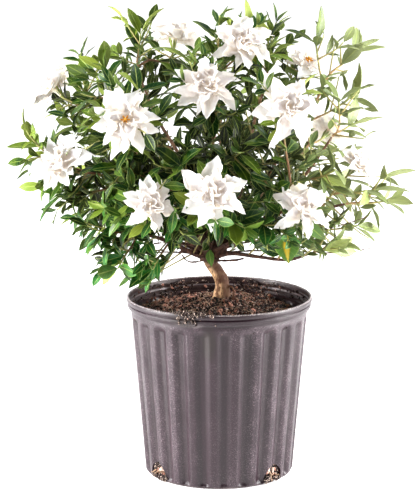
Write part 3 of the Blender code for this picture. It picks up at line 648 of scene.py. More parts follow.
def place_stem(node, place, target, routes, room):
    """One more stem of a spray as its route, mesh and target. It is bent further until it has a clear way."""
    limb, share, from_share = place
    draw = random.Random(f"{SEED} stem {node} {len(routes)}")
    end = stem_end(target)[0]
    for attempt in range(TRIES):
        if routes:
            start, along = place_on(routes[0][0], from_share)
            way = ((end - start).normalized() + along * 0.7).normalized()
        else:
            start, way = stem_start(limb, share, end)
        size = attempt * STEM_BEND_STEP
        route = stem_route(start, way, target, scatter(draw) * size)
        radii = stem_radii(target)
        mesh = tube_mesh(node, route, radii, 0)
        wide = tube_mesh(node, route[1:3], [r + CLEARANCE for r in radii[1:3]], 0)
        if room.free_for(mesh, (node,)) and room.free_for(wide, (node,)):
            return route, mesh, target
    return None


def place_stems(sprays, room):
    """The route of every stem, each clear of the wood, the blooms and the other stems."""
    found = []
    for number, (limb, share, stems) in enumerate(sprays):
        node = f"spray_{number + 1:02d}_{limb}"
        routes = []
        for from_share, target in stems:
            stem = place_stem(node, (limb, share, from_share), target, routes, room)
            if stem is None:
                print("no clear way for", node, target)
                continue
            room.add(node, stem[1])
            routes.append(stem)
        found.append((node, routes))
    return found


def leaf_slots(route, target, draw):
    """For each leaf of a stem: its share of the stem, turn round it, lean from it, length and outline."""
    length = route_length(route)
    turn = draw.uniform(0, math.tau)
    in_bloom = isinstance(target, str)
    levels = [*(BLOOM_STEM_LEVELS if in_bloom else LEAFY_STEM_LEVELS)]
    if length > (BLOOM_STEM_LONG if in_bloom else LEAFY_STEM_LONG):
        levels.append(BLOOM_STEM_EXTRA_LEVEL if in_bloom else LEAFY_STEM_EXTRA_LEVEL)
    slots = []
    for level, (share, count, lean, size) in enumerate(levels):
        if level == 1 and length < LEAFY_STEM_SHORT:
            count = 1
        for k in range(count):
            outline = LEAF_OUTLINE if level == 0 and k == 0 else SMALL_LEAF_OUTLINE
            around = turn + math.tau * k / count + draw.uniform(-0.2, 0.2)
            away = math.radians(lean + draw.uniform(-9, 9))
            slots.append((share - 0.012 * k, around, away, size * draw.uniform(0.8, 1.2) * MM, outline))
        turn += math.pi / 2
    return slots


def leaf_shape(route, slot, draw, attempt):
    """One leaf in its slot, as blade takes it. Later attempts turn and lean it further from its first place."""
    share, turn, lean, length, outline = slot
    point, along = place_on(route, share)
    loose = min(1.0, attempt / 12)
    turn += draw.uniform(-1.2, 1.2) * loose
    lean += draw.uniform(-0.5, 0.7) * loose
    length *= 1 - 0.25 * loose * draw.random()
    side = side_of(along, turn)
    way = (along * math.cos(lean) + side * math.sin(lean)).normalized()
    outwards = (point - CROWN_MIDDLE).normalized()
    sway = Vector((draw.uniform(-1, 1), draw.uniform(-1, 1), 0))
    face = along * 0.3 + UP * 0.45 + outwards * 0.55 + sway * 0.25
    width = length * LEAF_WIDTH_SHARE * draw.uniform(0.9, 1.15)
    base = point + side * 0.35 * STEM_TIP_RADIUS
    return base, way, face, length, width, outline, draw.uniform(0.02, 0.24)


def hem_height(x, y):
    """How low a leaf may hang here. The crown hangs lowest on the left, and its hem rises to the front."""
    (left, low), (right, high) = CROWN_HEM
    return low + (high - low) * limited((x - left) / (right - left)) + HEM_RISE * max(0.0, -y)


def place_leaves(stems, room):
    """The leaves of every spray, as blade takes them. A leaf that finds no clear place is left out."""
    found = {node: [] for node, _ in stems}
    trees = {node: [] for node, _ in stems}
    queue = []
    for node, routes in stems:
        for number, (route, _, target) in enumerate(routes):
            draw = random.Random(f"{SEED} leaves {node} {number}")
            for order, slot in enumerate(leaf_slots(route, target, draw)):
                queue.append((order, node, number, route, slot))
    queue.sort(key=lambda entry: entry[0])
    for order, node, number, route, slot in queue:
        draw = random.Random(f"{SEED} leaf {node} {number} {order}")
        for attempt in range(TRIES):
            shape = leaf_shape(route, slot, draw, attempt)
            base, way, _, length, *_ = shape
            tip = base + way * length
            if tip.z < hem_height(tip.x, tip.y):
                continue
            wide = blade(*shape, grow=CLEARANCE)
            around = BVHTree.FromBMesh(wide)
            fits = room.free_for(wide, (node,)) and not any(tree.overlap(around) for tree in trees[node])
            wide.free()
            if fits:
                slim = blade(*shape)
                room.add(node, slim)
                trees[node].append(BVHTree.FromBMesh(slim))
                slim.free()
                found[node].append(shape)
                break
    return found


# Node trees, written as sums


class Wire:
    """An output socket of a node tree. Arithmetic on it adds Math nodes."""

    def __init__(self, nodes, socket):
        self.nodes = nodes
        self.socket = socket

    def __getitem__(self, name):
        return Wire(self.nodes, self.socket.node.outputs[name])

    def maths(self, operation, *values):
        return self.nodes.add("ShaderNodeMath", {"operation": operation}, dict(enumerate(values)))

    def __add__(self, other):
        return self.maths("ADD", self, other)

    def __mul__(self, other):
        return self.maths("MULTIPLY", self, other)

    def __sub__(self, other):
        return self.maths("SUBTRACT", self, other)

    def __rsub__(self, other):
        return self.maths("SUBTRACT", other, self)

    def __truediv__(self, other):
        return self.maths("DIVIDE", self, other)

    def __rtruediv__(self, other):
        return self.maths("DIVIDE", other, self)

    def __pow__(self, other):
        return self.maths("POWER", self, other)

    __radd__ = __add__
    __rmul__ = __mul__

    def of(self, operation, *others):
        return self.maths(operation, self, *others)

    def within(self, low, high):
        """0 below low, 1 above high, and smooth between them."""
        settings = {"interpolation_type": "SMOOTHSTEP"}
        return self.nodes.add("ShaderNodeMapRange", settings, {"Value": self, "From Min": low, "From Max": high})


class Nodes:
    """Adds nodes to a tree, each with its settings and with what its sockets are given."""

    def __init__(self, tree):
        self.tree = tree

    def add(self, kind, settings=None, given=None, out=None):
        made = self.tree.nodes.new(kind)
        for name, value in (settings or {}).items():
            setattr(made, name, value)
        for name, value in (given or {}).items():
            socket = made.inputs[name] if isinstance(name, int) else self.socket_of(made.inputs, name)
            for each in value if isinstance(value, list) else [value]:
                if isinstance(each, Wire):
                    self.tree.links.new(each.socket, socket)
                else:
                    socket.default_value = each
        sockets = [s for s in made.outputs if s.enabled] or list(made.outputs)
        return Wire(self, self.socket_of(made.outputs, out) if out else sockets[0]) if sockets else made

    def socket_of(self, sockets, name):
        for socket in sockets:
            if socket.identifier == name:
                return socket
        return sockets[name]

    def vector(self, operation, *values, scale=None):
        given = dict(enumerate(values))
        if scale is not None:
            given["Scale"] = scale
        return self.add("ShaderNodeVectorMath", {"operation": operation}, given)

    def apart(self, vector):
        """The three parts of a vector."""
        made = self.add("ShaderNodeSeparateXYZ", None, {0: vector})
        return made, made["Y"], made["Z"]

    def mixed(self, share, first, second):
        """A colour between two colours."""
        first, second = ((*colour, 1) if isinstance(colour, tuple) else colour for colour in (first, second))
        given = {"Factor_Float": share, "A_Color": first, "B_Color": second}
        return self.add("ShaderNodeMix", {"data_type": "RGBA"}, given, "Result_Color")

    def painted(self, colour, *coats):
        """A colour with further colours laid over it, each by its own share."""
        for share, coat in coats:
            colour = self.mixed(share, colour, coat)
        return colour

    def shape(self, kind, **given):
        """Adds a node that works on geometry. An underscore in a name stands for a space."""
        return self.add("GeometryNode" + kind, None, {name.replace("_", " "): v for name, v in given.items()})

    def fact(self, name, kind="FLOAT"):
        return self.add("GeometryNodeInputNamedAttribute", {"data_type": kind}, {"Name": name}, "Attribute")


def geometry_tree(name, inputs):
    """The nodes of a new tree that shapes a geometry by these named values, then the geometry and the values."""
    tree = bpy.data.node_groups.new(name, "GeometryNodeTree")
    tree.interface.new_socket("Geometry", in_out="INPUT", socket_type="NodeSocketGeometry")
    for label, value in inputs.items():
        kind = "NodeSocketInt" if isinstance(value, int) else "NodeSocketFloat"
        tree.interface.new_socket(label, in_out="INPUT", socket_type=kind).default_value = value
    tree.interface.new_socket("Geometry", in_out="OUTPUT", socket_type="NodeSocketGeometry")
    nodes = Nodes(tree)
    given = nodes.add("NodeGroupInput")
    return nodes, given["Geometry"], *(given[label] for label in inputs)


# The growing tree: stems along lines, and blades on points


def growing_tree(name, upper, under, bark):
    """Turns the lines of a Growth into round stems and its points into thin closed blades."""
    nodes, geometry, *values = geometry_tree(name, {
        "Steps along": 10, "Steps across": 5, "Stem sides": 8, "Thickness": 0.4 * MM, "Widest": 0.9,
        "Fullness": 1.1, "Waves": 2.2, "Raggedness": 0.0,
    })
    steps_along, steps_across, sides, thickness, widest, fullness, waves, ragged = values
    sheet = nodes.shape("MeshGrid", Size_X=1.0, Size_Y=1.0, Vertices_X=steps_along, Vertices_Y=steps_across)
    x, y, _ = nodes.apart(nodes.shape("InputPosition"))
    for label, value in (("along", x + 0.5), ("aside", y * 2)):
        sheet = nodes.shape("StoreNamedAttribute", Geometry=sheet, Name=label, Value=value)
    is_blade = nodes.fact("is_blade", "BOOLEAN")
    sheets = nodes.shape("InstanceOnPoints", Points=geometry, Selection=is_blade, Instance=sheet)
    sheets = nodes.shape("RealizeInstances", Geometry=sheets)

    along, aside, length, width, phase = (
        nodes.fact(label) for label in ("along", "aside", "length", "width", "phase")
    )
    outline = ((along ** widest) * math.pi).of("SINE").of("MAXIMUM", 0.0) ** fullness
    notches = ((along * 3.7 + phase * 5 + aside * 0.21) * math.tau).of("SINE")
    notches = notches + ((along * 6.1 - phase * 3 + aside * 0.34) * math.tau).of("SINE") * 0.6
    half = width * 0.5 * outline * (1 + ragged * notches * aside * aside)
    spread = aside * half
    ripple = ((along * waves + phase + aside * 0.3) * math.tau).of("SINE")
    lift = (
        nodes.fact("fold") * (spread.of("ABSOLUTE") - half * 0.4)
        + nodes.fact("cup") * (spread * spread / width - half * 0.15) * 4
        + nodes.fact("wave") * half * ripple * (aside * aside)
    )
    twist = nodes.fact("twist") * along
    sideways = spread * twist.of("COSINE") - lift * twist.of("SINE") + nodes.fact("sway") * length * along * along
    upward = spread * twist.of("SINE") + lift * twist.of("COSINE") - nodes.fact("curl") * length * along * along
    upward = upward - nodes.fact("reflex") * length * ((along - 0.5).of("MAXIMUM", 0.0) ** 2.0) * 4
    spot, way, face = (nodes.fact(label, "FLOAT_VECTOR") for label in WAYS)
    side = nodes.vector("NORMALIZE", nodes.vector("CROSS_PRODUCT", face, way))
    up = nodes.vector("CROSS_PRODUCT", way, side)
    for direction, distance in ((way, along * length), (side, sideways), (up, upward)):
        spot = nodes.vector("ADD", spot, nodes.vector("SCALE", direction, scale=distance))
    sheets = nodes.shape("SetPosition", Geometry=sheets, Position=spot)
    thick = nodes.shape("ExtrudeMesh", Mesh=sheets, Offset_Scale=thickness, Individual=False)
    thick = nodes.shape("SetMaterial", Geometry=thick, Material=upper)
    lower = nodes.shape("SetMaterial", Geometry=nodes.shape("FlipFaces", Mesh=sheets), Material=under)

    ring = nodes.shape("CurvePrimitiveCircle", Resolution=sides, Radius=1.0)
    lines = nodes.shape("MeshToCurve", Mesh=geometry)
    stems = nodes.shape("CurveToMesh", Curve=lines, Profile_Curve=ring, Scale=nodes.fact("thick"), Fill_Caps=True)
    stems = nodes.shape("SetMaterial", Geometry=stems, Material=bark)
    grown = nodes.shape("JoinGeometry", Geometry=[thick, lower, stems])
    grown = nodes.shape("MergeByDistance", Geometry=grown, Distance=1e-6)
    grown = nodes.shape("SetShadeSmooth", Geometry=grown)
    nodes.add("NodeGroupOutput", None, {0: grown})
    return nodes.tree


NUMBERS = ("length", "width", "curl", "fold", "cup", "wave", "twist", "sway", "reflex", "phase", "tone", "thick")
WAYS = ("base", "way", "face")


class Growth:
    """The stems and blades of one piece, before the growing tree gives them their form."""

    def __init__(self):
        self.points = []
        self.lines = []
        self.facts = []

    def stem(self, route, radii, tones):
        first = len(self.points)
        for place, radius, tone in zip(route, radii, tones):
            self.points.append(place)
            self.facts.append({"thick": radius, "tone": tone})
        self.lines += [(k, k + 1) for k in range(first, len(self.points) - 1)]

    def blade(self, base, way, face, length, width, curl, tone, **others):
        self.points.append(base)
        lie = {"base": base, "way": way, "face": face}
        self.facts.append({**lie, "length": length, "width": width, "curl": curl, "tone": tone, **others})

    def build(self, name, tree, slot, *nodes, **sizes):
        """A piece of the object, once the growing tree has given these stems and blades their form."""
        mesh = bpy.data.meshes.new(name)
        mesh.from_pydata(self.points, self.lines, [])
        add_facts(mesh, "BOOLEAN", {"is_blade": ["way" in facts for facts in self.facts]})
        add_facts(mesh, "FLOAT", {label: [facts.get(label, 0.0) for facts in self.facts] for label in NUMBERS})
        add_facts(mesh, "FLOAT_VECTOR", {
            label: [v for facts in self.facts for v in facts.get(label, (0, 0, 1))] for label in WAYS
        })
        mesh = with_tree(name, mesh, tree, **sizes)
        for label in [held.name for held in mesh.attributes]:
            if label in NUMBERS + WAYS + ("is_blade",) and label != "tone":
                mesh.attributes.remove(mesh.attributes[label])
        return finished(name, mesh, slot, *nodes)


def with_tree(name, mesh, tree, **sizes):
    """A plain mesh, from a mesh put through a tree with these named values. An underscore stands for a space."""
    holder = add_object(name, mesh)
    shaping = holder.modifiers.new("shaping", "NODES")
    shaping.node_group = tree
    for item in tree.interface.items_tree:
        label = item.name.replace(" ", "_")
        if item.item_type == "SOCKET" and item.in_out == "INPUT" and label in sizes:
            shaping[item.identifier] = sizes[label]
    return baked(holder)


def add_facts(mesh, kind, facts):
    """Gives each point of a mesh these named values, numbers or vectors."""
    for label, values in facts.items():
        held = mesh.attributes.new(label, kind, "POINT")
        held.data.foreach_set("vector" if kind == "FLOAT_VECTOR" else "value", values)


def finished(name, mesh, slot, *nodes, sharp=60):
    """The mesh as a piece of the object: doubles merged, faces outwards, riding on the plant's one body."""
    merge_doubles(mesh, outwards=True)
    mesh.set_sharp_from_angle(angle=math.radians(sharp))
    piece = bpy.data.objects.new(name, mesh)
    bpy.context.scene.collection.objects.link(piece)
    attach(piece, "root")
    if nodes:
        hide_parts(*nodes)
    return piece


# Finishes

RIM_STAIN = Vector((-27, -74, 150)) * MM
DRIP = RIM_STAIN + Vector((18, 0, -16)) * MM
CRUST = RIM_STAIN + Vector((-2, 0, 6)) * MM
# The middle of the painted shade on the front of the pot
FRONT_SHADE_SPOT = Vector((-4, -75, 80)) * MM
# The trunk's leaning axis, for the painted shade down its right side: the height where it starts to lean, and how
# far it leans per metre of height
TRUNK_BEND_HEIGHT = 171 * MM
TRUNK_LEAN = 0.55


class Finish(Nodes):
    """The nodes of one material, with its main shader and the place on the object."""

    def __init__(self, name, roughness=0.5, **sockets):
        self.made = bpy.data.materials.new(name)
        self.made.use_nodes = True
        super().__init__(self.made.node_tree)
        self.shader = self.tree.nodes["Principled BSDF"]
        for label, value in {"Roughness": roughness, **sockets}.items():
            self.shader.inputs[label.replace("_", " ")].default_value = value
        self.place = self.add("ShaderNodeTexCoord", None, None, "Object")

    def speckle(self, scale, detail=3.0, rough=0.55, stretch=None):
        """Noise between 0 and 1 at this many lumps a metre."""
        place = self.place
        if stretch:
            place = self.add("ShaderNodeMapping", None, {"Vector": place, "Scale": stretch})
        given = {"Vector": place, "Scale": scale, "Detail": detail, "Roughness": rough}
        return self.add("ShaderNodeTexNoise", None, given, "Fac")

    def attribute(self, name):
        return self.add("ShaderNodeAttribute", {"attribute_name": name}, None, "Fac")

    def near_spot(self, spot, reach, stretch=(1, 1, 1)):
        """1 at a spot on the object, falling to 0 at this reach. stretch divides the distance along each axis."""
        away = self.vector("SUBTRACT", self.place, tuple(spot))
        away = self.vector("DIVIDE", away, stretch)
        return 1 - (self.vector("LENGTH", away) / reach).of("MINIMUM", 1.0)

    def give(self, height=None, deep=0.3 * MM, strength=1.0, **sockets):
        """The finished material, once its shader has its textured values and the bumps of this height."""
        if height:
            given = {"Height": height, "Distance": deep, "Strength": strength}
            sockets["Normal"] = self.add("ShaderNodeBump", None, given)
        for label, value in sockets.items():
            self.tree.links.new(value.socket, self.shader.inputs[label.replace("_", " ")])
        return self.made


def leaf_finish(name, old, deep, mid, low, young, sage, vein_colour, roughness, gloss):
    """A leaf's colour goes with its tone, from dark below 0 to young at 1, and at 2 it yellows along its rib.
    Tones below 0 are old leaves and the painted shade deep inside the crown. Its rib, veins and margin are paler,
    and all the leaves at the thin right side of the crown are paler too, which is painted light from the right.
    The lowest leaves are the greenest."""
    nodes = Finish(name, roughness, Specular_IOR_Level=gloss)
    along, aside, tone = (nodes.attribute(label) for label in ("along", "aside", "tone"))
    x, _, z = nodes.apart(nodes.place)
    out_from_rib = aside.of("ABSOLUTE")
    rib = 1 - out_from_rib.within(0.03, 0.13)
    margin = out_from_rib.within(0.86, 1.0)
    strokes = ((along - out_from_rib * 0.20) * 7 * math.tau).of("COSINE").within(0.72, 1.0) * (1 - rib)
    cloud = nodes.speckle(60.0, 2.0)
    rim_green = (out_from_rib + cloud * 0.4 + along * 0.2).within(0.34, 0.66)
    colour = nodes.painted(
        deep,
        ((cloud + tone * 0.25).within(0.42, 0.60), nodes.mixed(z.within(226 * MM, 280 * MM), low, mid)),
        # tones below 0: old leaves, and painted shade deep inside the crown
        ((tone * -1).within(0.0, 0.9), old),
        (tone.within(0.2, 1.0), young),
        # painted light: the leaves at the right side of the crown are painted paler
        (x.within(45 * MM, 130 * MM) * 0.80, sage),
        (tone.within(1.4, 1.7), nodes.mixed(rim_green, (0.66, 0.42, 0.030), (0.055, 0.125, 0.014))),
        (rib * 0.55 + strokes * 0.10 + margin * 0.38, vein_colour),
    )
    height = rib * -0.8 + strokes * -0.35 + nodes.speckle(900.0, 2.0) * 0.25
    return nodes.give(height, 0.25 * MM, 0.8, Base_Color=colour, Roughness=cloud * 0.20 + (roughness - 0.10))


def petal_finish(name):
    """Soft white that light shines into, cream in the throat, with fine threads along it, and a faint warm painted
    glow that lifts its shade.
    """
    # The faint warm emission is painted light, lifting the shade in the folds and the heart.
    nodes = Finish(
        name, Subsurface_Weight=0.7, Subsurface_Scale=0.006, Subsurface_Radius=(1.0, 0.80, 0.60),
        Emission_Strength=0.10, Emission_Color=(1.0, 0.84, 0.70, 1), Specular_IOR_Level=0.2,
    )
    along, aside, tone = (nodes.attribute(label) for label in ("along", "aside", "tone"))
    cloud = nodes.speckle(140.0)
    threads = (aside * 30 + cloud * 3).of("SINE") * 0.5 + 0.5
    colour = nodes.painted(
        (0.58, 0.53, 0.50),
        (cloud.within(0.3, 0.75), (0.69, 0.655, 0.63)),
        ((1 - along.within(0.02, 0.45)) * (0.25 + tone * 0.75), (0.78, 0.67, 0.50)),
    )
    height = threads * 0.35 + nodes.speckle(420.0) * 0.8
    return nodes.give(height, strength=0.7, Base_Color=colour, Roughness=cloud * 0.2 + 0.42)


def stem_finish(name):
    """Brown at the old end of a shoot and green at the young end."""
    nodes = Finish(name, 0.55)
    tone = nodes.attribute("tone")
    cloud = nodes.speckle(260.0)
    right = nodes.apart(nodes.place)[0].within(40 * MM, 120 * MM)
    green = nodes.mixed(cloud, (0.22, 0.28, 0.070), (0.46, 0.47, 0.17))
    colour = nodes.painted(
        (0.10, 0.045, 0.024), (cloud, (0.30, 0.155, 0.080)), (right * 0.8, (0.46, 0.30, 0.15)), (tone, green)
    )
    return nodes.give(cloud, strength=0.6, Base_Color=colour, Roughness=0.72 - tone * 0.25)


def wood_finish(name):
    """Tan bark, darker and redder towards the fork, with furrows along the wood, and painted shade down its right
    side.
    """
    nodes = Finish(name, 0.8)
    x, _, height = nodes.apart(nodes.place)
    furrows = nodes.speckle(260.0, 6.0, 0.65, (1.0, 1.0, 0.28))
    patches = nodes.speckle(70.0, 4.0, 0.6)
    flakes = nodes.speckle(460.0, 4.0, 0.7, (1.0, 1.0, 0.45))
    from_axis = x - TRUNK_FOOT.x + (height - TRUNK_BEND_HEIGHT).of("MAXIMUM", 0.0) * TRUNK_LEAN
    tan = nodes.painted(
        (0.19, 0.080, 0.034),
        (furrows.within(0.34, 0.56), (0.92, 0.60, 0.34)),
        (patches.within(0.54, 0.70) * 0.85, (0.17, 0.058, 0.026)),
        # painted shade down the trunk's right side
        ((from_axis + furrows * 0.008).within(0.002, 0.006) * 0.88, (0.075, 0.023, 0.010)),
        (flakes.within(0.50, 0.58) * 0.80, (0.12, 0.045, 0.022)),
    )
    dark = nodes.mixed(furrows.within(0.35, 0.75), (0.035, 0.016, 0.012), (0.17, 0.080, 0.052))
    brown = nodes.mixed(furrows.within(0.35, 0.70), (0.085, 0.040, 0.024), (0.36, 0.205, 0.125))
    dark = nodes.mixed(height.within(0.222, 0.262), dark, brown)
    darkened = (height + patches * 0.016).within(0.186, 0.202)
    return nodes.give(furrows + patches * 0.6 - flakes * 0.5, 1.3 * MM,
                      Base_Color=nodes.mixed(darkened, tan, dark), Roughness=furrows * 0.25 + 0.62)


def plastic_finish(name):
    """Dark purple-brown nursery plastic: scuffed on its lands, with painted shade in its flutes and over the
    middle of its front, fine dust, a pale lip that is partly dust and partly a painted highlight, a painted
    highlight on a ring inside, a film of soil inside, and a smear of wet soil below the front of its rim."""
    nodes = Finish(name, 0.46, Specular_IOR_Level=0.50)
    pressed, inside = nodes.attribute("pressed"), nodes.attribute("inside")
    x, _, height = nodes.apart(nodes.place)
    dust = nodes.speckle(1300.0, 2.0, 0.75)
    streaks = nodes.speckle(130.0, 5.0, 0.6, (1.0, 1.0, 0.10))
    patches = nodes.speckle(30.0, 4.0, 0.65)
    specks = (dust * 0.8 + patches * 0.2).within(0.55, 0.64) * (0.50 - pressed * 0.30)
    # Painted shade: a blotchy darkening over the middle of the pot's front.
    front_shade = nodes.near_spot(FRONT_SHADE_SPOT, 78 * MM, (0.50, 1.0, 1.7)) + streaks * 0.5 + patches * 0.3 - 0.35
    soil_film = inside * (patches * 0.5 + dust * 0.6).within(0.42, 0.66)
    crusts = inside * (streaks * 0.4 + dust * 0.6).within(0.50, 0.56)
    rim = height.within(POT_HEIGHT - 13 * MM, POT_HEIGHT - 12 * MM) * (x + dust * 0.03).within(-0.055, -0.020)
    # A pale band on the inner wall 7.5 mm below the top: a painted highlight along a ring
    ring = (height - (POT_HEIGHT - 7.5 * MM)).of("ABSOLUTE") + dust * 1.2 * MM
    # A pale line round the lip, partly dust and partly a painted highlight
    lip = height.within(POT_HEIGHT - 1.2 * MM, POT_HEIGHT - 0.4 * MM) * dust.within(0.40, 0.60)
    smear = nodes.near_spot(RIM_STAIN, 22 * MM, (1.0, 1.0, 0.22)) + patches * 0.9 + dust * 0.6 - 0.85
    drip = nodes.near_spot(DRIP, 26 * MM, (0.42, 1.0, 1.0)) + dust * 1.4 - 1.0
    crust = nodes.near_spot(CRUST, 17 * MM, (1.0, 1.0, 0.7)) + dust * 1.4 - 1.0
    colour = nodes.painted(
        (0.018, 0.007, 0.012),
        (patches.within(0.3, 0.7), (0.034, 0.017, 0.025)),
        # painted shade in the flutes' recesses
        (pressed.within(0.3, 1.0) * 0.85, (0.011, 0.002, 0.005)),
        (streaks.within(0.50, 0.75) * 0.25, (0.090, 0.060, 0.074)),
        ((1 - dust).within(0.50, 0.62) * 0.6, (0.006, 0.003, 0.005)),
        (specks, (0.36, 0.29, 0.31)),
        # painted shade over the middle of the front
        (front_shade.within(0.10, 0.75) * 0.70, (0.014, 0.002, 0.007)),
        (soil_film * 0.5, (0.150, 0.098, 0.084)),
        (crusts * 0.8, (0.030, 0.014, 0.010)),
        (rim * (1 - inside) * 0.70, (0.012, 0.003, 0.006)),
        # the painted highlight along a ring on the inner wall
        (inside * (1 - ring.within(0.8 * MM, 1.7 * MM)) * 0.5, (0.42, 0.36, 0.37)),
        # the lip's pale line: partly dust, partly a painted highlight
        (lip * 0.80, (0.62, 0.55, 0.55)),
        (smear.within(0.20, 0.55) * 0.35, (0.24, 0.20, 0.20)),
        (drip.of("MAXIMUM", crust + 0.1).within(0.02, 0.24) * 0.92, (0.012, 0.005, 0.004)),
    )
    return nodes.give(dust * 0.7 + streaks * 0.5, 0.4 * MM, 0.7,
                      Base_Color=colour, Roughness=0.20 + streaks * 0.12 + dust * 0.16)


def soil_finish(name, dark, light, fleck, scale=240.0):
    """Rough matter with pale flecks. It is lighter the higher its tone, and all fleck above a tone of 1.3."""
    nodes = Finish(name, 0.95)
    crumbs = nodes.speckle(scale, 6.0, 0.7)
    fleck_share = nodes.speckle(scale * 2.6, 2.0, 0.5)
    tone = nodes.attribute("tone")
    colour = nodes.painted(
        dark,
        ((crumbs * 0.9 + tone * 0.5).within(0.44, 0.82), light),
        (fleck_share.within(0.59, 0.63).of("MAXIMUM", tone.within(1.3, 3.0)) * 0.9, fleck),
    )
    return nodes.give(crumbs + fleck_share * 0.4, 1.2 * MM, 0.9, Base_Color=colour, Roughness=crumbs * 0.3 + 0.68)


def pollen_finish(name):
    """Orange grains with yellow ones among them."""
    nodes = Finish(name, 0.7)
    grains = nodes.speckle(1600.0, 3.0, 0.7)
    colour = nodes.mixed(grains.within(0.35, 0.65), (0.42, 0.15, 0.015), (0.86, 0.47, 0.06))
    return nodes.give(grains, 0.2 * MM, Base_Color=colour, Roughness=grains * 0.3 + 0.5)


LEAF = leaf_finish(
    "leaf_upper", old=(0.008, 0.013, 0.003), deep=(0.004, 0.040, 0.005), mid=(0.058, 0.105, 0.007),
    low=(0.024, 0.135, 0.024), young=(0.27, 0.33, 0.050), sage=(0.235, 0.265, 0.120),
    vein_colour=(0.33, 0.41, 0.09), roughness=0.36, gloss=0.28,
)
LEAF_UNDER = leaf_finish(
    "leaf_under", old=(0.036, 0.048, 0.014), deep=(0.060, 0.105, 0.024), mid=(0.120, 0.165, 0.040),
    low=(0.085, 0.180, 0.050), young=(0.33, 0.39, 0.10), sage=(0.285, 0.315, 0.160),
    vein_colour=(0.36, 0.40, 0.14), roughness=0.6, gloss=0.15,
)
STEM = stem_finish("green_and_brown_stem")
PETAL = petal_finish("white_petal")
WOOD = wood_finish("trunk_bark")
PLASTIC = plastic_finish("dusty_pot_plastic")
PEAT = soil_finish("peat", (0.006, 0.002, 0.002), (0.170, 0.070, 0.050), (0.62, 0.43, 0.35))
CHIP = soil_finish("bark_chip", (0.016, 0.005, 0.004), (0.44, 0.200, 0.140), (0.78, 0.62, 0.52), 420.0)
STRAW = soil_finish("pale_fibre", (0.13, 0.075, 0.050), (0.42, 0.28, 0.19), (0.58, 0.46, 0.36), 600.0)
POLLEN = pollen_finish("pollen")


# The pot

POT_TURN_STEPS = FLUTES * 18
RECESS_SHARE = 0.35
RECESS_EDGE = 4.4 * MM
RECESS_CORNER = 5.0 * MM
RECESS_DEPTH = FLUTE_DEPTH + 0.6 * MM
# Corners of the rim in millimetres, out from the rim's or the shoulder's edge and up from the top of the pot
SHOULDER_INSIDE = ((-0.4, -12.8), (0.6, -12.2), (0.7, -10.6), (0.2, -10.0), (1.2, -9.2))
LIP_INSIDE = (
    (-3.2, -8.7), (-3.0, -8.0), (-2.9, -5.6), (-3.3, -5.0), (-2.5, -4.4), (-2.4, -1.4), (-2.1, -0.5), (-1.4, 0),
)
LIP_OUTSIDE = (
    (-0.7, -0.2), (-0.15, -0.8), (0, -1.6), (0, -3.6), (-0.3, -4.2), (-1.3, -4.6), (-1.6, -5.1), (-1.3, -5.6),
    (-0.9, -6.0), (-0.8, -8.6), (-1.1, -9.3), (-2.0, -9.7),
)
SHOULDER_OUTSIDE = ((0.6, -9.9), (0.1, -10.6), (0, -12.0))
# Rings of the wall, finer near the flutes' ends: from and to these heights in millimetres, and how many
WALL_RINGS = ((146, 128, 19), (122, 16, 10), (11, 4.5, 6))
HEEL_STEPS = 6
PEAT_TURN_STEPS = 150
PEAT_RINGS = 46


def turned_mesh(name, profile, steps):
    """A closed solid turned about Z from a profile of (radius, height) that runs down its outer side."""
    mesh = bpy.data.meshes.new(name)
    mesh.from_pydata([(r, 0, z) for r, z in profile], [(k, k + 1) for k in range(len(profile) - 1)], [])
    holder = add_object(name, mesh)
    screw = holder.modifiers.new("turn", "SCREW")
    screw.steps = screw.render_steps = steps
    screw.use_merge_vertices = True
    screw.merge_threshold = 1e-6
    return baked(holder)


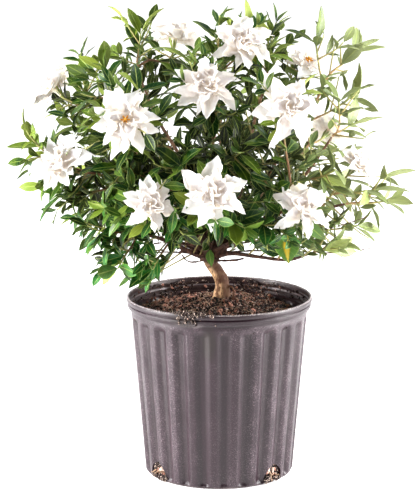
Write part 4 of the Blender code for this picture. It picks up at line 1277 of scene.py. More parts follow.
def fluting_tree():
    """Presses the flutes into a turned pot, upright recesses with round corners, and bends its rim a little."""
    nodes, geometry, *values = geometry_tree("fluting", {
        "Flutes": float(FLUTES), "Depth": RECESS_DEPTH, "Turn": FLUTE_TURN, "Top": FLUTE_TOP + FLUTE_FADE,
        "Floor": 4 * MM, "Fade": 3 * MM, "Recess share": RECESS_SHARE, "Edge": RECESS_EDGE,
        "Corner": RECESS_CORNER, "Foot radius": FOOT_RADIUS, "Wobble": 0.5 * MM, "Rim height": POT_HEIGHT,
    })
    flutes, depth, turn, top, floor, fade, share, edge, corner, foot, wobble, rim = values
    place = nodes.shape("InputPosition")
    x, y, z = nodes.apart(place)
    radius = (x * x + y * y).of("SQRT")
    angle = y.of("ARCTAN2", x)
    pitch = math.tau / flutes
    from_middle = (((angle - turn) / pitch + 0.5).of("FRACT") - 0.5) * pitch * radius
    half = share * pitch * radius
    aside = from_middle.of("ABSOLUTE") - half + corner
    above = z - top + corner
    past = (aside.of("MAXIMUM", 0.0) ** 2 + above.of("MAXIMUM", 0.0) ** 2).of("SQRT")
    inside = corner - past - aside.of("MAXIMUM", above).of("MINIMUM", 0.0)
    pressed = (inside / edge).of("MAXIMUM", 0.0).of("MINIMUM", 1.0)
    pressed = pressed * ((z - floor + fade) / fade).within(0.0, 1.0)
    pressed = pressed * (radius - foot).within(0.0, 2.0 * MM)
    lumps = nodes.add("ShaderNodeTexNoise", None, {"Vector": place, "Scale": 16.0, "Detail": 1.0}, "Fac") - 0.5
    near_rim = (z / rim).within(0.80, 1.0)
    out = radius - depth * pressed + wobble * lumps * near_rim * 4
    level = {label: side * out / radius.of("MAXIMUM", 1e-6) for label, side in (("X", x), ("Y", y))}
    spot = nodes.add("ShaderNodeCombineXYZ", None, {**level, "Z": z})
    shaped = nodes.shape("SetPosition", Geometry=geometry, Position=spot)
    shaped = nodes.shape("SetMaterial", Geometry=shaped, Material=PLASTIC)
    shaped = nodes.shape("SetShadeSmooth", Geometry=shaped)
    shaped = nodes.shape("StoreNamedAttribute", Geometry=shaped, Name="pressed", Value=pressed)
    shaped = nodes.shape("RealizeInstances", Geometry=shaped)
    nodes.add("NodeGroupOutput", None, {0: shaped})
    return nodes.tree


def on_inner_side(place):
    """Whether a place on the pot's surface is on the inside of its wall or rim."""
    edge = RIM_RADIUS - 1.8 * MM if place.z > POT_HEIGHT - 9.6 * MM else wall_radius(place.z) - WALL / 2
    return math.hypot(place.x, place.y) < edge


def cut_drain_holes(mesh):
    """The mesh with its four arched holes cut through the bottom corner."""
    holder = add_object("pot_before_holes", mesh)
    cutters = collection_named("drain_cutters")
    for way, side in drain_spots():
        bm = bmesh.new()
        bmesh.ops.create_cone(bm, cap_ends=True, segments=40, radius1=1, radius2=1, depth=26 * MM)
        middle = way * (HEEL_RADIUS + FOOT_RADIUS) / 2 + UP * DRAIN_CENTRE_HEIGHT
        size = Matrix.Diagonal((DRAIN_HALF_HEIGHT, DRAIN_HALF_WIDTH, 1, 1))
        turn = Matrix((UP, side, way)).transposed().to_4x4()
        bmesh.ops.transform(bm, matrix=Matrix.Translation(middle) @ turn @ size, verts=bm.verts[:])
        bmesh.ops.recalc_face_normals(bm, faces=bm.faces[:])
        cutters.objects.link(bpy.data.objects.new("drain_cutter", mesh_from(bm, "drain_cutter")))
    difference = holder.modifiers.new("drains", "BOOLEAN")
    difference.operation = "DIFFERENCE"
    difference.operand_type = "COLLECTION"
    difference.collection = cutters
    difference.solver = "MANIFOLD"
    solid = baked(holder)
    for cutter in [*cutters.objects]:
        bpy.data.objects.remove(cutter)
    bpy.data.collections.remove(cutters)
    return solid


def beside(edge, places):
    """Places given in millimetres out from an edge of the pot and up from its top."""
    return [(edge + out * MM, POT_HEIGHT + up * MM) for out, up in places]


def build_fluted_pot():
    """The pot: a wall with a rim of two bands and a foot, turned, then pressed with flutes and cut with holes."""
    body = []
    for top, bottom, count in WALL_RINGS:
        body += [(wall_radius(z), z) for z in stepped(top * MM, bottom * MM, count)]
    heel = []
    for k in range(1, HEEL_STEPS + 1):
        turn = math.pi / 2 * k / HEEL_STEPS
        heel.append((HEEL_RADIUS - HEEL_HEIGHT * (1 - math.cos(turn)), HEEL_HEIGHT * (1 - math.sin(turn))))
    floor = [(0, WALL), (FOOT_RADIUS - 4 * MM, WALL), (FOOT_RADIUS + 0.4 * MM, WALL + 0.3 * MM)]
    inner = [(r - WALL, z) for r, z in reversed(body)]
    lip = (
        beside(SHOULDER_RADIUS - WALL, SHOULDER_INSIDE) + beside(RIM_RADIUS, LIP_INSIDE + LIP_OUTSIDE)
        + beside(SHOULDER_RADIUS, SHOULDER_OUTSIDE)
    )
    foot = [(FOOT_RADIUS - 1.0 * MM, 0), (0, 0)]
    mesh = turned_mesh("fluted_pot", floor + inner + lip + body + heel + foot, POT_TURN_STEPS)
    add_facts(mesh, "FLOAT", {"inside": [float(on_inner_side(vert.co)) for vert in mesh.vertices]})
    mesh = with_tree("fluted_pot", mesh, fluting_tree())
    return finished("fluted_pot", cut_drain_holes(mesh), "pot_plastic", "pot", sharp=38)


# The soil

BANK_RISE = 5.5 * MM


def soil_top(x, y):
    """The finer surface of the soil, crumbly and heaped against the trunk."""
    point = Vector((x, y, 0))
    rough = noise.fractal(point * 120, 0.7, 2.1, 4) * 1.3 * MM + noise.noise(point * 45) * 1.6 * MM
    heap = math.hypot(x - TRUNK_FOOT.x, y - TRUNK_FOOT.y) / (15 * MM)
    bank = max(0.0, math.hypot(x, y) / SHOULDER_RADIUS - 0.62) / 0.35
    bank = bank * (0.9 + 0.8 * noise.noise(point * 22)) if y > -30 * MM else bank * 0.4
    return soil_height(x, y) + rough + 3.0 * MM * math.exp(-heap * heap) + BANK_RISE * min(1.3, bank)


def build_peat():
    """The body of the soil, with a crumbly top."""
    bottom = WALL + GAP
    edge = wall_radius(SOIL_EDGE_HEIGHT) - SOIL_WALL_CLEARANCE + 1.0 * MM
    tops = [(r, SOIL_EDGE_HEIGHT) for r in stepped(0, edge, PEAT_RINGS)]
    side = [(wall_radius(z) - SOIL_WALL_CLEARANCE + 0.6 * MM, z) for z in stepped(130 * MM, 6 * MM, 12)]
    profile = tops + side + [(FOOT_RADIUS - 2 * MM, bottom), (0, bottom)]
    mesh = turned_mesh("peat", profile, PEAT_TURN_STEPS)
    for vert in mesh.vertices:
        if vert.co.z > SOIL_EDGE_HEIGHT - MM:
            vert.co.z = soil_top(vert.co.x, vert.co.y)
    mesh.materials.append(PEAT)
    mesh.shade_smooth()
    return finished("peat", mesh, "bark_soil", "soil", sharp=70)


def crumbs_tree(name, finish):
    """Puts a rough lump on each point, of the size and turn that the point says."""
    inputs = {"Detail": 2, "Roughness": 0.3, "Grain": 400.0}
    nodes, points, detail, roughness, grain = geometry_tree(name, inputs)
    size = nodes.fact("size", "FLOAT_VECTOR")
    lump = nodes.shape("MeshIcoSphere", Radius=1.0, Subdivisions=detail)
    turn = nodes.fact("turn", "FLOAT_VECTOR")
    lumps = nodes.shape("InstanceOnPoints", Points=points, Instance=lump, Rotation=turn, Scale=size)
    lumps = nodes.shape("RealizeInstances", Geometry=lumps)
    noisy = {"Vector": nodes.shape("InputPosition"), "Scale": grain, "Detail": 2.0}
    shift = nodes.vector("SUBTRACT", nodes.add("ShaderNodeTexNoise", None, noisy, "Color"), (0.5, 0.5, 0.5))
    shift = nodes.vector("SCALE", shift, scale=nodes.vector("LENGTH", size) * roughness)
    lumps = nodes.shape("SetPosition", Geometry=lumps, Offset=shift)
    lumps = nodes.shape("SetMaterial", Geometry=lumps, Material=finish)
    nodes.add("NodeGroupOutput", None, {0: lumps})
    return nodes.tree


class Crumbs:
    """Loose pieces of one kind: where each lies, its half sizes, its turn and its tone."""

    def __init__(self):
        self.rows = []

    def add(self, place, size, turn, tone):
        self.rows.append((place, size, turn, tone))

    def build(self, name, finish, slot, **sizes):
        places, *ways, tones = zip(*self.rows)
        mesh = bpy.data.meshes.new(name)
        mesh.from_pydata(places, [], [])
        add_facts(mesh, "FLOAT_VECTOR", {
            label: [v for row in rows for v in row] for label, rows in zip(("size", "turn"), ways)
        })
        add_facts(mesh, "FLOAT", {"tone": tones})
        mesh = with_tree(name, mesh, crumbs_tree(name, finish), **sizes)
        for label in ("size", "turn"):
            mesh.attributes.remove(mesh.attributes[label])
        return finished(name, mesh, slot, sharp=25)


def spot_on_soil(draw, reach=1.0):
    """A drawn place on the soil, up to this share of the way to the wall."""
    turn = draw.uniform(0, math.tau)
    radius = (wall_radius(SOIL_EDGE_HEIGHT) - SOIL_WALL_CLEARANCE) * math.sqrt(draw.random()) * reach
    x, y = radius * math.cos(turn), radius * math.sin(turn)
    return Vector((x, y, soil_top(x, y)))


def clear_of_trunk(place, gap):
    """Whether a place is at least this gap from the trunk's foot."""
    return math.hypot(place.x - TRUNK_FOOT.x, place.y - TRUNK_FOOT.y) > TRUNK_FOOT_RADIUS + gap


def drain_spots():
    """For each drain hole: the way out through it, and the way across it."""
    for degrees in DRAIN_ANGLES:
        way = round_pot(math.radians(degrees))
        yield way, way.cross(UP)


def flake(draw, long, wide, deep):
    """The half sizes of a loose piece, its width and depth drawn as shares of its length."""
    return long, long * draw.uniform(*wide), long * draw.uniform(*deep)


def any_turn(draw):
    """Turns about the three axes for a loose piece that lies anyhow."""
    return draw.uniform(0, 3), draw.uniform(0, 3), draw.uniform(0, 3)


SURFACE_CHIPS = 1000
RIM_CHIPS = 130
WALL_CHIPS = 420
DRAIN_CHIPS = 16
DRAIN_CHIP_TONES = (-2.0, -1.4, -0.8, 0.4, 2.6)
DRAIN_GRIT = 46
CRUMBS = 2600
FIBRES = 170
FIBRE_POINTS = 6
DRAIN_ROOTS = 3


def surface_chips(chips, draw):
    """Bark on the mound, mostly small and lying nearly flat."""
    while len(chips.rows) < SURFACE_CHIPS:
        place = spot_on_soil(draw, 0.99)
        if clear_of_trunk(place, 3 * MM):
            size = flake(draw, (0.8 + 2.3 * draw.random() ** 2.5) * MM, (0.35, 0.7), (0.18, 0.4))
            turn = (draw.gauss(0, 0.45), draw.gauss(0, 0.45), draw.uniform(0, math.tau))
            chips.add(place + UP * draw.uniform(-0.3, 0.9) * MM, size, turn, draw.uniform(-0.3, 1.4))


def drain_chips(chips, draw, grit):
    """Bark in the drain holes, and dark grit that fills the corner at their feet."""
    for way, side in drain_spots():
        for _ in range(DRAIN_CHIPS):
            spread = draw.uniform(-9, 9) * MM
            rise = draw.uniform(3.5, 14) * MM
            out = wall_radius(rise) - SOIL_WALL_CLEARANCE + draw.uniform(-0.5, 1.4) * MM
            size = flake(draw, min(draw.uniform(1.8, 4.6) * MM, rise * 0.75), (0.4, 0.7), (0.3, 0.6))
            turn = any_turn(draw)
            chips.add(way * out + side * spread + UP * rise, size, turn, draw.choice(DRAIN_CHIP_TONES))
    for way, side in drain_spots():
        for _ in range(DRAIN_GRIT):
            spread = grit.uniform(-9.8, 9.8) * MM
            rise = grit.uniform(1.1, 5.0) * MM
            out = wall_radius(rise) - grit.uniform(0.4, 3.4) * MM
            size = flake(grit, min(grit.uniform(1.6, 3.0) * MM, rise * 0.75), (0.6, 0.9), (0.5, 0.9))
            turn = any_turn(grit)
            chips.add(way * out + side * spread + UP * rise, size, turn, grit.uniform(-2.2, -0.9))


def rim_chips(chips, draw):
    """Crumbs that cling to the front of the rim, and to the wall inside above the soil."""
    for _ in range(RIM_CHIPS):
        turn = draw.gauss(-0.34, 0.09)
        out = RIM_RADIUS - draw.uniform(0.2, 3.4) * MM
        on_top = out < RIM_RADIUS - 1.0 * MM
        rise = POT_HEIGHT + (draw.uniform(-0.2, 1.2) if on_top else -draw.uniform(0, 9)) * MM
        size = flake(draw, draw.uniform(0.8, 2.6) * MM, (0.4, 0.8), (0.3, 0.6))
        chips.add(round_pot(turn, out, rise), size, any_turn(draw), draw.uniform(-1.3, 0.1))
    for _ in range(WALL_CHIPS):
        turn = draw.choice((draw.gauss(2.75, 0.22), draw.gauss(-2.62, 0.20), draw.uniform(0, math.tau)))
        rise = SOIL_EDGE_HEIGHT + 3 * MM + 16 * MM * draw.random() ** 1.6
        out = SHOULDER_RADIUS - WALL - FLUTE_DEPTH * (1 if rise < FLUTE_TOP else 0)
        size = flake(draw, draw.uniform(0.5, 2.0) * MM, (0.5, 0.8), (0.3, 0.6))
        lie = (draw.uniform(0, 3), draw.uniform(0, 3), turn)
        chips.add(round_pot(turn, out, rise), size, lie, draw.uniform(-1.1, 0.5))


def build_loose_soil():
    """The loose bark and crumbs of the soil."""
    draw = random.Random(f"{SEED} soil")
    chips = Crumbs()
    surface_chips(chips, draw)
    drain_chips(chips, draw, random.Random(f"{SEED} grit"))
    rim_chips(chips, draw)
    chips.build("bark_chips", CHIP, "bark_soil", Roughness=0.5)
    crumbs = Crumbs()
    while len(crumbs.rows) < CRUMBS:
        place = spot_on_soil(draw)
        if clear_of_trunk(place, 0.5 * MM):
            size = flake(draw, draw.uniform(0.5, 1.5) * MM, (0.6, 1.0), (0.5, 0.9))
            turn = any_turn(draw)
            crumbs.add(place + UP * draw.uniform(-0.2, 0.7) * MM, size, turn, draw.random() ** 2)
    crumbs.build("soil_crumbs", PEAT, "bark_soil", Detail=1, Roughness=0.6)


def fibre_route(draw, place):
    """A bowed fibre that starts here and lies on the soil. It is cut short at the wall of the pot."""
    way = level_way(draw.uniform(0, math.tau))
    side = way.cross(UP)
    length = draw.uniform(4, 15) * MM
    bow = draw.uniform(-0.3, 0.3)
    route = []
    for t in stepped(0, 1, FIBRE_POINTS):
        spot = place + way * length * t + side * length * bow * math.sin(math.pi * t)
        if math.hypot(spot.x, spot.y) > wall_radius(SOIL_EDGE_HEIGHT) - SOIL_WALL_CLEARANCE:
            break
        spot.z = soil_top(spot.x, spot.y) + (0.5 + 1.4 * math.sin(math.pi * t)) * MM
        route.append(spot)
    return route


def build_fibres():
    """Pale root fibres and straws on the soil, and a few roots that stick out of the drain holes."""
    draw = random.Random(f"{SEED} fibres")
    growth = Growth()
    while len(growth.lines) < (FIBRE_POINTS - 1) * FIBRES:
        place = spot_on_soil(draw, 0.97)
        if not clear_of_trunk(place, 1 * MM):
            continue
        route = fibre_route(draw, place)
        if len(route) == FIBRE_POINTS:
            radius = draw.uniform(0.18, 0.42) * MM
            thin = [radius * (1 - 0.5 * t) for t in stepped(0, 1, FIBRE_POINTS)]
            growth.stem(route, thin, [draw.random()] * FIBRE_POINTS)
    for way, side in drain_spots():
        for _ in range(DRAIN_ROOTS):
            spread = draw.uniform(-6, 6) * MM
            start = way * (HEEL_RADIUS - 5 * MM) + side * spread + UP * draw.uniform(6, 12) * MM
            end = way * (HEEL_RADIUS + 1.5 * MM) + side * (spread + draw.uniform(-5, 5) * MM)
            end = end + UP * draw.uniform(3, 17) * MM
            growth.stem(bent_route(start, way, end, UP, 8), tapered(MM, 0.9, 0.06, 8), [0.8] * 8)
    growth.build("root_fibres", growing_tree("fibres", LEAF, LEAF_UNDER, STRAW), "bark_soil", Stem_sides=6)


# Wood

WOOD_VOXEL = 0.95 * MM
TRUNK_RINGS = 36
FINE_LIMB_RINGS = 20
TWIG_RINGS = 22
SHORT_TWIG_RINGS = 8
ROOTS = 8
FORK_TWIGS = 46


def roots():
    """Roots that flare from the trunk's foot into the soil, and one small root that loops clear of it."""
    draw = random.Random(f"{SEED} roots")
    found = []
    middle = Vector((3 * MM, 0, 0))
    for k in range(ROOTS):
        way = level_way(math.tau * k / ROOTS + draw.uniform(-0.3, 0.3))
        high = draw.uniform(162, 172) * MM
        far = draw.uniform(9, 16) * MM
        start = middle + UP * high + way * 3.4 * MM
        knee = middle + way * (5.6 * MM)
        knee.z = 159 * MM
        end = middle + way * far
        end.z = soil_height(end.x, end.y) - 2.5 * MM
        found.append((smooth_route([start, knee, end], 9), tapered(draw.uniform(1.7, 2.6) * MM, 1.1, 0.07, 9)))
    loop = [mm(p) for p in ((7.5, -3, 170), (12.5, -5, 167), (13.0, -6, 160), (9, -6, 155))]
    found.append((smooth_route(loop, 12), [0.95 * MM] * 12))
    return found


# Long thin twigs that run nearly level under the crown, in millimetres
LOW_TWIGS = (
    ((-5, -4, 197), (22, -16, 203), (62, -22, 204), (104, -24, 203), (140, -22, 208)),
    ((-5, -3, 200), (20, -26, 212), (60, -44, 222), (98, -52, 231), (128, -50, 240)),
    ((-12, -4, 197), (-34, -22, 203), (-60, -34, 205), (-84, -40, 203)),
    ((-12, -3, 200), (-30, -24, 211), (-52, -46, 216), (-78, -58, 213)),
    ((-9, -5, 199), (-14, -30, 210), (-24, -58, 220), (-40, -84, 226)),
    ((-7, -5, 200), (4, -32, 212), (22, -62, 222), (44, -84, 230)),
)


def fork_twigs():
    """Short bare twigs in the tangle round the fork, and long ones that leave it nearly level."""
    draw = random.Random(f"{SEED} tangle")
    thin = tapered(MM, 1.25, 0.03, TWIG_RINGS)
    found = [(smooth_route([mm(p) for p in points], TWIG_RINGS), thin) for points in LOW_TWIGS]
    for _ in range(FORK_TWIGS):
        turn = draw.uniform(0, math.tau)
        way = level_way(turn, draw.uniform(0.15, 1.0)).normalized()
        start = mm((-9 + 3 * math.cos(turn), 3 * math.sin(turn), draw.uniform(191, 204)))
        end = start + way * draw.uniform(14, 50) * MM
        end.z = max(end.z, 195 * MM)
        bend = (UP * draw.uniform(-0.05, 0.9) + way).normalized()
        route = bent_route(start, way, end, bend, SHORT_TWIG_RINGS)
        found.append((route, tapered(draw.uniform(1.1, 1.5) * MM, 1, 0.04, SHORT_TWIG_RINGS)))
    return found


def furrow(mesh):
    """Presses furrows into the skin of the wood, shallower the higher it is."""
    normals = [vert.normal.copy() for vert in mesh.vertices]
    for vert, normal in zip(mesh.vertices, normals):
        place = vert.co
        stretched = Vector((place.x * 330, place.y * 330, place.z * 90))
        share = limited((205 * MM - place.z) / (20 * MM), low=0.25)
        depth = noise.fractal(stretched, 0.8, 2.0, 3) * 0.55 * MM + noise.noise(place * 110) * 0.6 * MM
        vert.co = place + normal * depth * share


def build_bark():
    """Trunk, roots, limbs and twigs, each a tube, made one skin and then furrowed."""
    route = smooth_route([mm(p) for p, _ in TRUNK], TRUNK_RINGS)
    thick = smooth_route([Vector((r * MM, 0, 0)) for _, r in TRUNK], TRUNK_RINGS)
    tubes = [tube_mesh("trunk", route, [r.x for r in thick], 6)]
    for name in LIMBS:
        route = smooth_route(limb_route(name), FINE_LIMB_RINGS)
        radii = [limb_radius(name, share) for share in stepped(0, 1, FINE_LIMB_RINGS)]
        tubes.append(tube_mesh("limb", route, radii, 2))
    for route, radii in roots() + fork_twigs():
        tubes.append(tube_mesh("root", route, radii, 2))
    bm = bmesh.new()
    for mesh in tubes:
        bm.from_mesh(mesh)
    holder = add_object("bark", mesh_from(bm, "bark"))
    skin = holder.modifiers.new("skin", "REMESH")
    skin.mode = "VOXEL"
    skin.voxel_size = WOOD_VOXEL
    holder.modifiers.new("soften", "SMOOTH").iterations = 2
    mesh = baked(holder)
    furrow(mesh)
    mesh.materials.clear()
    mesh.materials.append(WOOD)
    mesh.shade_smooth()
    finished("bark_wood", mesh, "bark", "trunk_and_limbs", sharp=75)


# Blooms

# Rings of more petals: how many, their lean in degrees, their length and width as shares, and their cup
HEART_RINGS = {
    "open": ((6, 76, 0.88, 0.30, 0.10), (5, 60, 0.62, 0.34, 0.15), (4, 50, 0.40, 0.44, 0.2)),
    "double": ((6, 72, 0.90, 0.30, 0.10), (5, 54, 0.70, 0.36, 0.15), (4, 36, 0.52, 0.48, 0.25),
               (3, 20, 0.40, 0.55, 0.35)),
}
# The ranges from which the form of the outer petals, the inner petals and the heart's petals is drawn
PETAL_FOLDS = {
    "fold": (-0.2, 0.25), "wave": (0.15, 0.5), "phase": (0, 1), "twist": (-0.6, 0.6), "sway": (-0.16, 0.16),
}
OUTER_FORM = {"cup": (0.05, 0.45), **PETAL_FOLDS, "reflex": (0.0, 0.35)}
INNER_FORM = {"cup": (0.3, 0.6), **PETAL_FOLDS, "reflex": (-0.2, 0.1)}
HEART_FORM = {
    "wave": (0.2, 0.6), "phase": (0, 1), "twist": (-0.6, 0.9), "sway": (-0.2, 0.2), "reflex": (-0.1, 0.3),
}
PETAL_SHAPING = {
    "Steps_along": 15, "Steps_across": 7, "Stem_sides": 12, "Thickness": 0.4 * MM,
    "Widest": 0.95, "Fullness": 0.95, "Waves": 1.9, "Raggedness": 0.10,
}


def petal_growth(name):
    """The petals of the solid bloom with their cup, curl and waves, and rings of more petals up to the heart."""
    length, open_heart = BLOOMS[name][2], BLOOMS[name][-1]
    draw = random.Random(f"{SEED} fine bloom {name}")
    axes = bloom_axes(name)
    middle, axis, *_ = axes
    growth = Growth()
    tube = [middle - axis * TUBE_LENGTH, *(middle - axis * down * MM for down in (5, 1.5, -0.4))]
    growth.stem(tube, [TUBE_RADIUS, TUBE_RADIUS * 1.15, HUB_RADIUS * 0.9, HUB_RADIUS * 0.8], [0.6] * 4)
    for number, (base, way, face, size, width, _, curl) in enumerate(petal_ways(name)):
        outer = number < OUTER_PETALS
        width *= draw.uniform(0.9, 1.15) if outer else 1.1
        form = drawn(draw, OUTER_FORM if outer else INNER_FORM)
        growth.blade(base, way, face, size, width, curl, 0.1 if outer else 0.3, **form)
    turn0 = draw.uniform(0, math.tau)
    for ring, (count, lean, share, spread, cup) in enumerate(HEART_RINGS["open" if open_heart else "double"]):
        for k in range(count):
            turn = turn0 + ring * 0.8 + math.tau * k / count + draw.uniform(-0.25, 0.25)
            side, way, face = petal_lie(axes, turn, lean + draw.uniform(-12, 12), draw.uniform(0.3, 0.6))
            size = length * share * draw.uniform(0.80, 1.15) * MM
            base = middle + side * (1.8 - 0.4 * ring) * MM - axis * (1.8 - ring * 0.6) * MM
            width = size * spread * draw.uniform(1.2, 1.5)
            curl = draw.uniform(-0.1, 0.2)
            form = {"cup": cup * draw.uniform(0.6, 1.5), **drawn(draw, HEART_FORM)}
            growth.blade(base, way, face, size, width, curl, 0.2 + ring * 0.2, **form)
    return growth


def build_flowers():
    """Every bloom, each one piece with its tube."""
    tree = growing_tree("flower", PETAL, PETAL, PETAL)
    for name in BLOOMS:
        petal_growth(name).build("flower_" + name, tree, "petal_white", "bloom_" + name, **PETAL_SHAPING)


def build_hearts():
    """The stigma and stamens of each bloom that shows them."""
    tree = growing_tree("heart", POLLEN, POLLEN, POLLEN)
    for name in [name for name, facts in BLOOMS.items() if facts[-1]]:
        draw = random.Random(f"{SEED} heart {name}")
        centre, axis, *_ = bloom_axes(name)
        foot = centre + axis * GAP
        turn = axis.to_track_quat("Z", "Y").to_matrix()
        growth = Growth()
        route = [foot + axis * z * MM for z in (0, 1.5, 3.2, 4.2, 4.9)]
        growth.stem(route, [r * MM for r in (0.8, 0.9, 1.35, 1.2, 0.5)], [0] * 5)
        for k in range(6):
            spread = math.tau * k / 6 + draw.uniform(-0.2, 0.2)
            way = turn @ level_way(spread, draw.uniform(0.7, 1.1)).normalized()
            start = foot + axis * 0.9 * MM
            route = bent_route(start, way, start + way * draw.uniform(4.2, 5.4) * MM, axis, 6)
            growth.stem(route, [r * MM for r in (0.3, 0.45, 0.7, 0.8, 0.6, 0.3)], [0] * 6)
        growth.build("pollen_heart_" + name, tree, "pollen", "stamens_" + name, Stem_sides=10)


# Foliage

NODE_SPACING = 7.4 * MM
CROWN_MARGIN = 3 * MM
CROWN_REACH = (0.175, 0.145, 0.135)
# No leaf may stand before a bloom: this far along its facing, or this far to the front, and this far aside
BLOOM_VIEW = 60 * MM
FRONT_VIEW = 130 * MM
VIEW_RADIUS = 18 * MM
TO_FRONT = Vector((0, -0.98, 0.2))
SHOOT_POINTS = 6
STEM_POINTS = 14
CALYX_SEPALS = 6
LEAF_FORM = {
    "fold": (0.12, 0.45), "wave": (0.0, 0.14), "phase": (0, 1), "twist": (-0.45, 0.45), "sway": (-0.12, 0.12),
    "reflex": (-0.05, 0.15),
}
LEAF_SHAPING = {
    "Steps_along": 8, "Steps_across": 3, "Stem_sides": 6, "Thickness": 0.35 * MM,
    "Widest": 1.12, "Fullness": 0.86, "Waves": 2.2,
}
LONE_SHAPING = {"Steps_along": 12, "Steps_across": 5, "Stem_sides": 6, "Thickness": 0.35 * MM}


def openness(point):
    """The share of its leaves that the crown goes without here: most on the right, and low round the fork."""
    right = limited((point.x - 40 * MM) / (60 * MM))
    low = limited((240 * MM - point.z) / (26 * MM))
    middle = max(0.0, 1 - abs(point.x - 5 * MM) / (95 * MM))
    return max(0.20, 0.84 * right, min(0.97, 1.6 * low * middle))


def covers_a_bloom(point):
    """Whether a point lies just before the open face of a bloom, or between it and the front."""
    for centre, facing, *_ in BLOOMS.values():
        away = point - mm(centre)
        for axis, reach in ((Vector(facing).normalized(), BLOOM_VIEW), (TO_FRONT, FRONT_VIEW)):
            ahead = away.dot(axis)
            if 2 * MM < ahead < reach and (away - axis * ahead).length < VIEW_RADIUS:
                return True
    return False


class Foliage:
    """Adds leaves to the growth of one piece where there is room for them."""

    def __init__(self, node, firm, room):
        self.node = node
        self.firm = firm
        self.room = room
        self.growth = Growth()
        self.count = 0

    def try_leaf(self, point, along, turn, leans, lengths, tone, draw):
        """One leaf at a point of a stem, tried a few ways round. In the end it may cross another leaf."""
        lean = math.radians(draw.uniform(*leans))
        length = draw.uniform(*lengths) * MM
        if draw.random() < openness(point):
            return
        out = (point - CROWN_MIDDLE).normalized()
        for attempt in range(LEAF_TRIES):
            loose = attempt * 0.25
            angle = turn + draw.uniform(-1, 1) * loose
            tilt = lean + draw.uniform(-0.6, 0.8) * loose
            side = side_of(along, angle)
            way = (along * math.cos(tilt) + side * math.sin(tilt)).normalized()
            way = (way + out * 0.25).normalized()
            face = UP * 0.5 + out * 0.6 + along * 0.3 + scatter(draw) * 0.4
            size = length * draw.uniform(0.85, 1.1) * (1 - 0.06 * attempt)
            width = size * draw.uniform(0.34, 0.46)
            curl = draw.uniform(0.0, 0.28)
            base = point + side * 0.5 * MM
            tip = base + way * size
            if not in_crown(tip) or covers_a_bloom(tip) or covers_a_bloom(base.lerp(tip, 0.5)):
                continue
            test = blade(base, way, face, size, width, SMALL_LEAF_OUTLINE, curl)
            fits = (attempt == LEAF_TRIES - 1 or self.room.free_for(test)) and self.firm.free_for(test)
            if fits:
                self.room.add(self.node, test)
                form = drawn(draw, LEAF_FORM)
                self.growth.blade(base, way, face, size, width, curl, darkened(tip, tone), **form)
                self.count += 1
            test.free()
            if fits:
                return

    def side_shoot(self, point, along, turn, length, draw):
        """A short shoot from a stem or limb, with pairs of leaves along it and three at its end."""
        out = (point - CROWN_MIDDLE).normalized()
        way = (along * 0.5 + side_of(along, turn) * 0.9 + out * 0.3).normalized()
        end = point + way * length
        if covers_a_bloom(end) or not in_crown(end):
            return
        bend = (way + UP * draw.uniform(-0.3, 0.5)).normalized()
        route = bent_route(point, way, end, bend, SHOOT_POINTS)
        before = self.count
        tone = draw.gauss(0.15, 0.40)
        spin = draw.uniform(0, math.tau)
        for k in range(3):
            self.try_leaf(route[-1], bend, spin + math.tau * k / 3, (22, 50), (12, 23), tone, draw)
        pairs = max(1, int(length / NODE_SPACING) - 1)
        for pair in range(pairs):
            mid, along_mid = place_on(route, (pair + 0.7) / (pairs + 0.4))
            for k in range(2):
                around = spin + 0.5 + pair * 1.57 + math.pi * k
                self.try_leaf(mid, along_mid, around, (45, 65), (12, 22), tone - 0.15, draw)
        if self.count > before:
            tones = [0.3 + 0.12 * k for k in range(SHOOT_POINTS)]
            self.growth.stem(route, tapered(MM, 0.8, 0.05, SHOOT_POINTS), tones)


def in_crown(point):
    """Whether a point lies in the crown's box and above its hem."""
    low, high = CAD_BOX
    inside = all(low[k] - CROWN_MARGIN < point[k] < high[k] + CROWN_MARGIN for k in range(3))
    return inside and hem_height(point.x, point.y) < point.z < high[2] - 4 * MM


def darkened(point, tone):
    """The tone of a leaf here, lowered as painted shade the deeper it lies inside the crown, and kept as drawn at
    its skin.
    """
    away = point - CROWN_MIDDLE
    depth = 1 - math.sqrt(sum((away[k] / CROWN_REACH[k]) ** 2 for k in range(3)))
    # Painted shade: the deeper a leaf lies in the crown, the lower and darker its tone.
    return limited(tone - 1.1 * limited(depth * 1.6), low=-1.0)


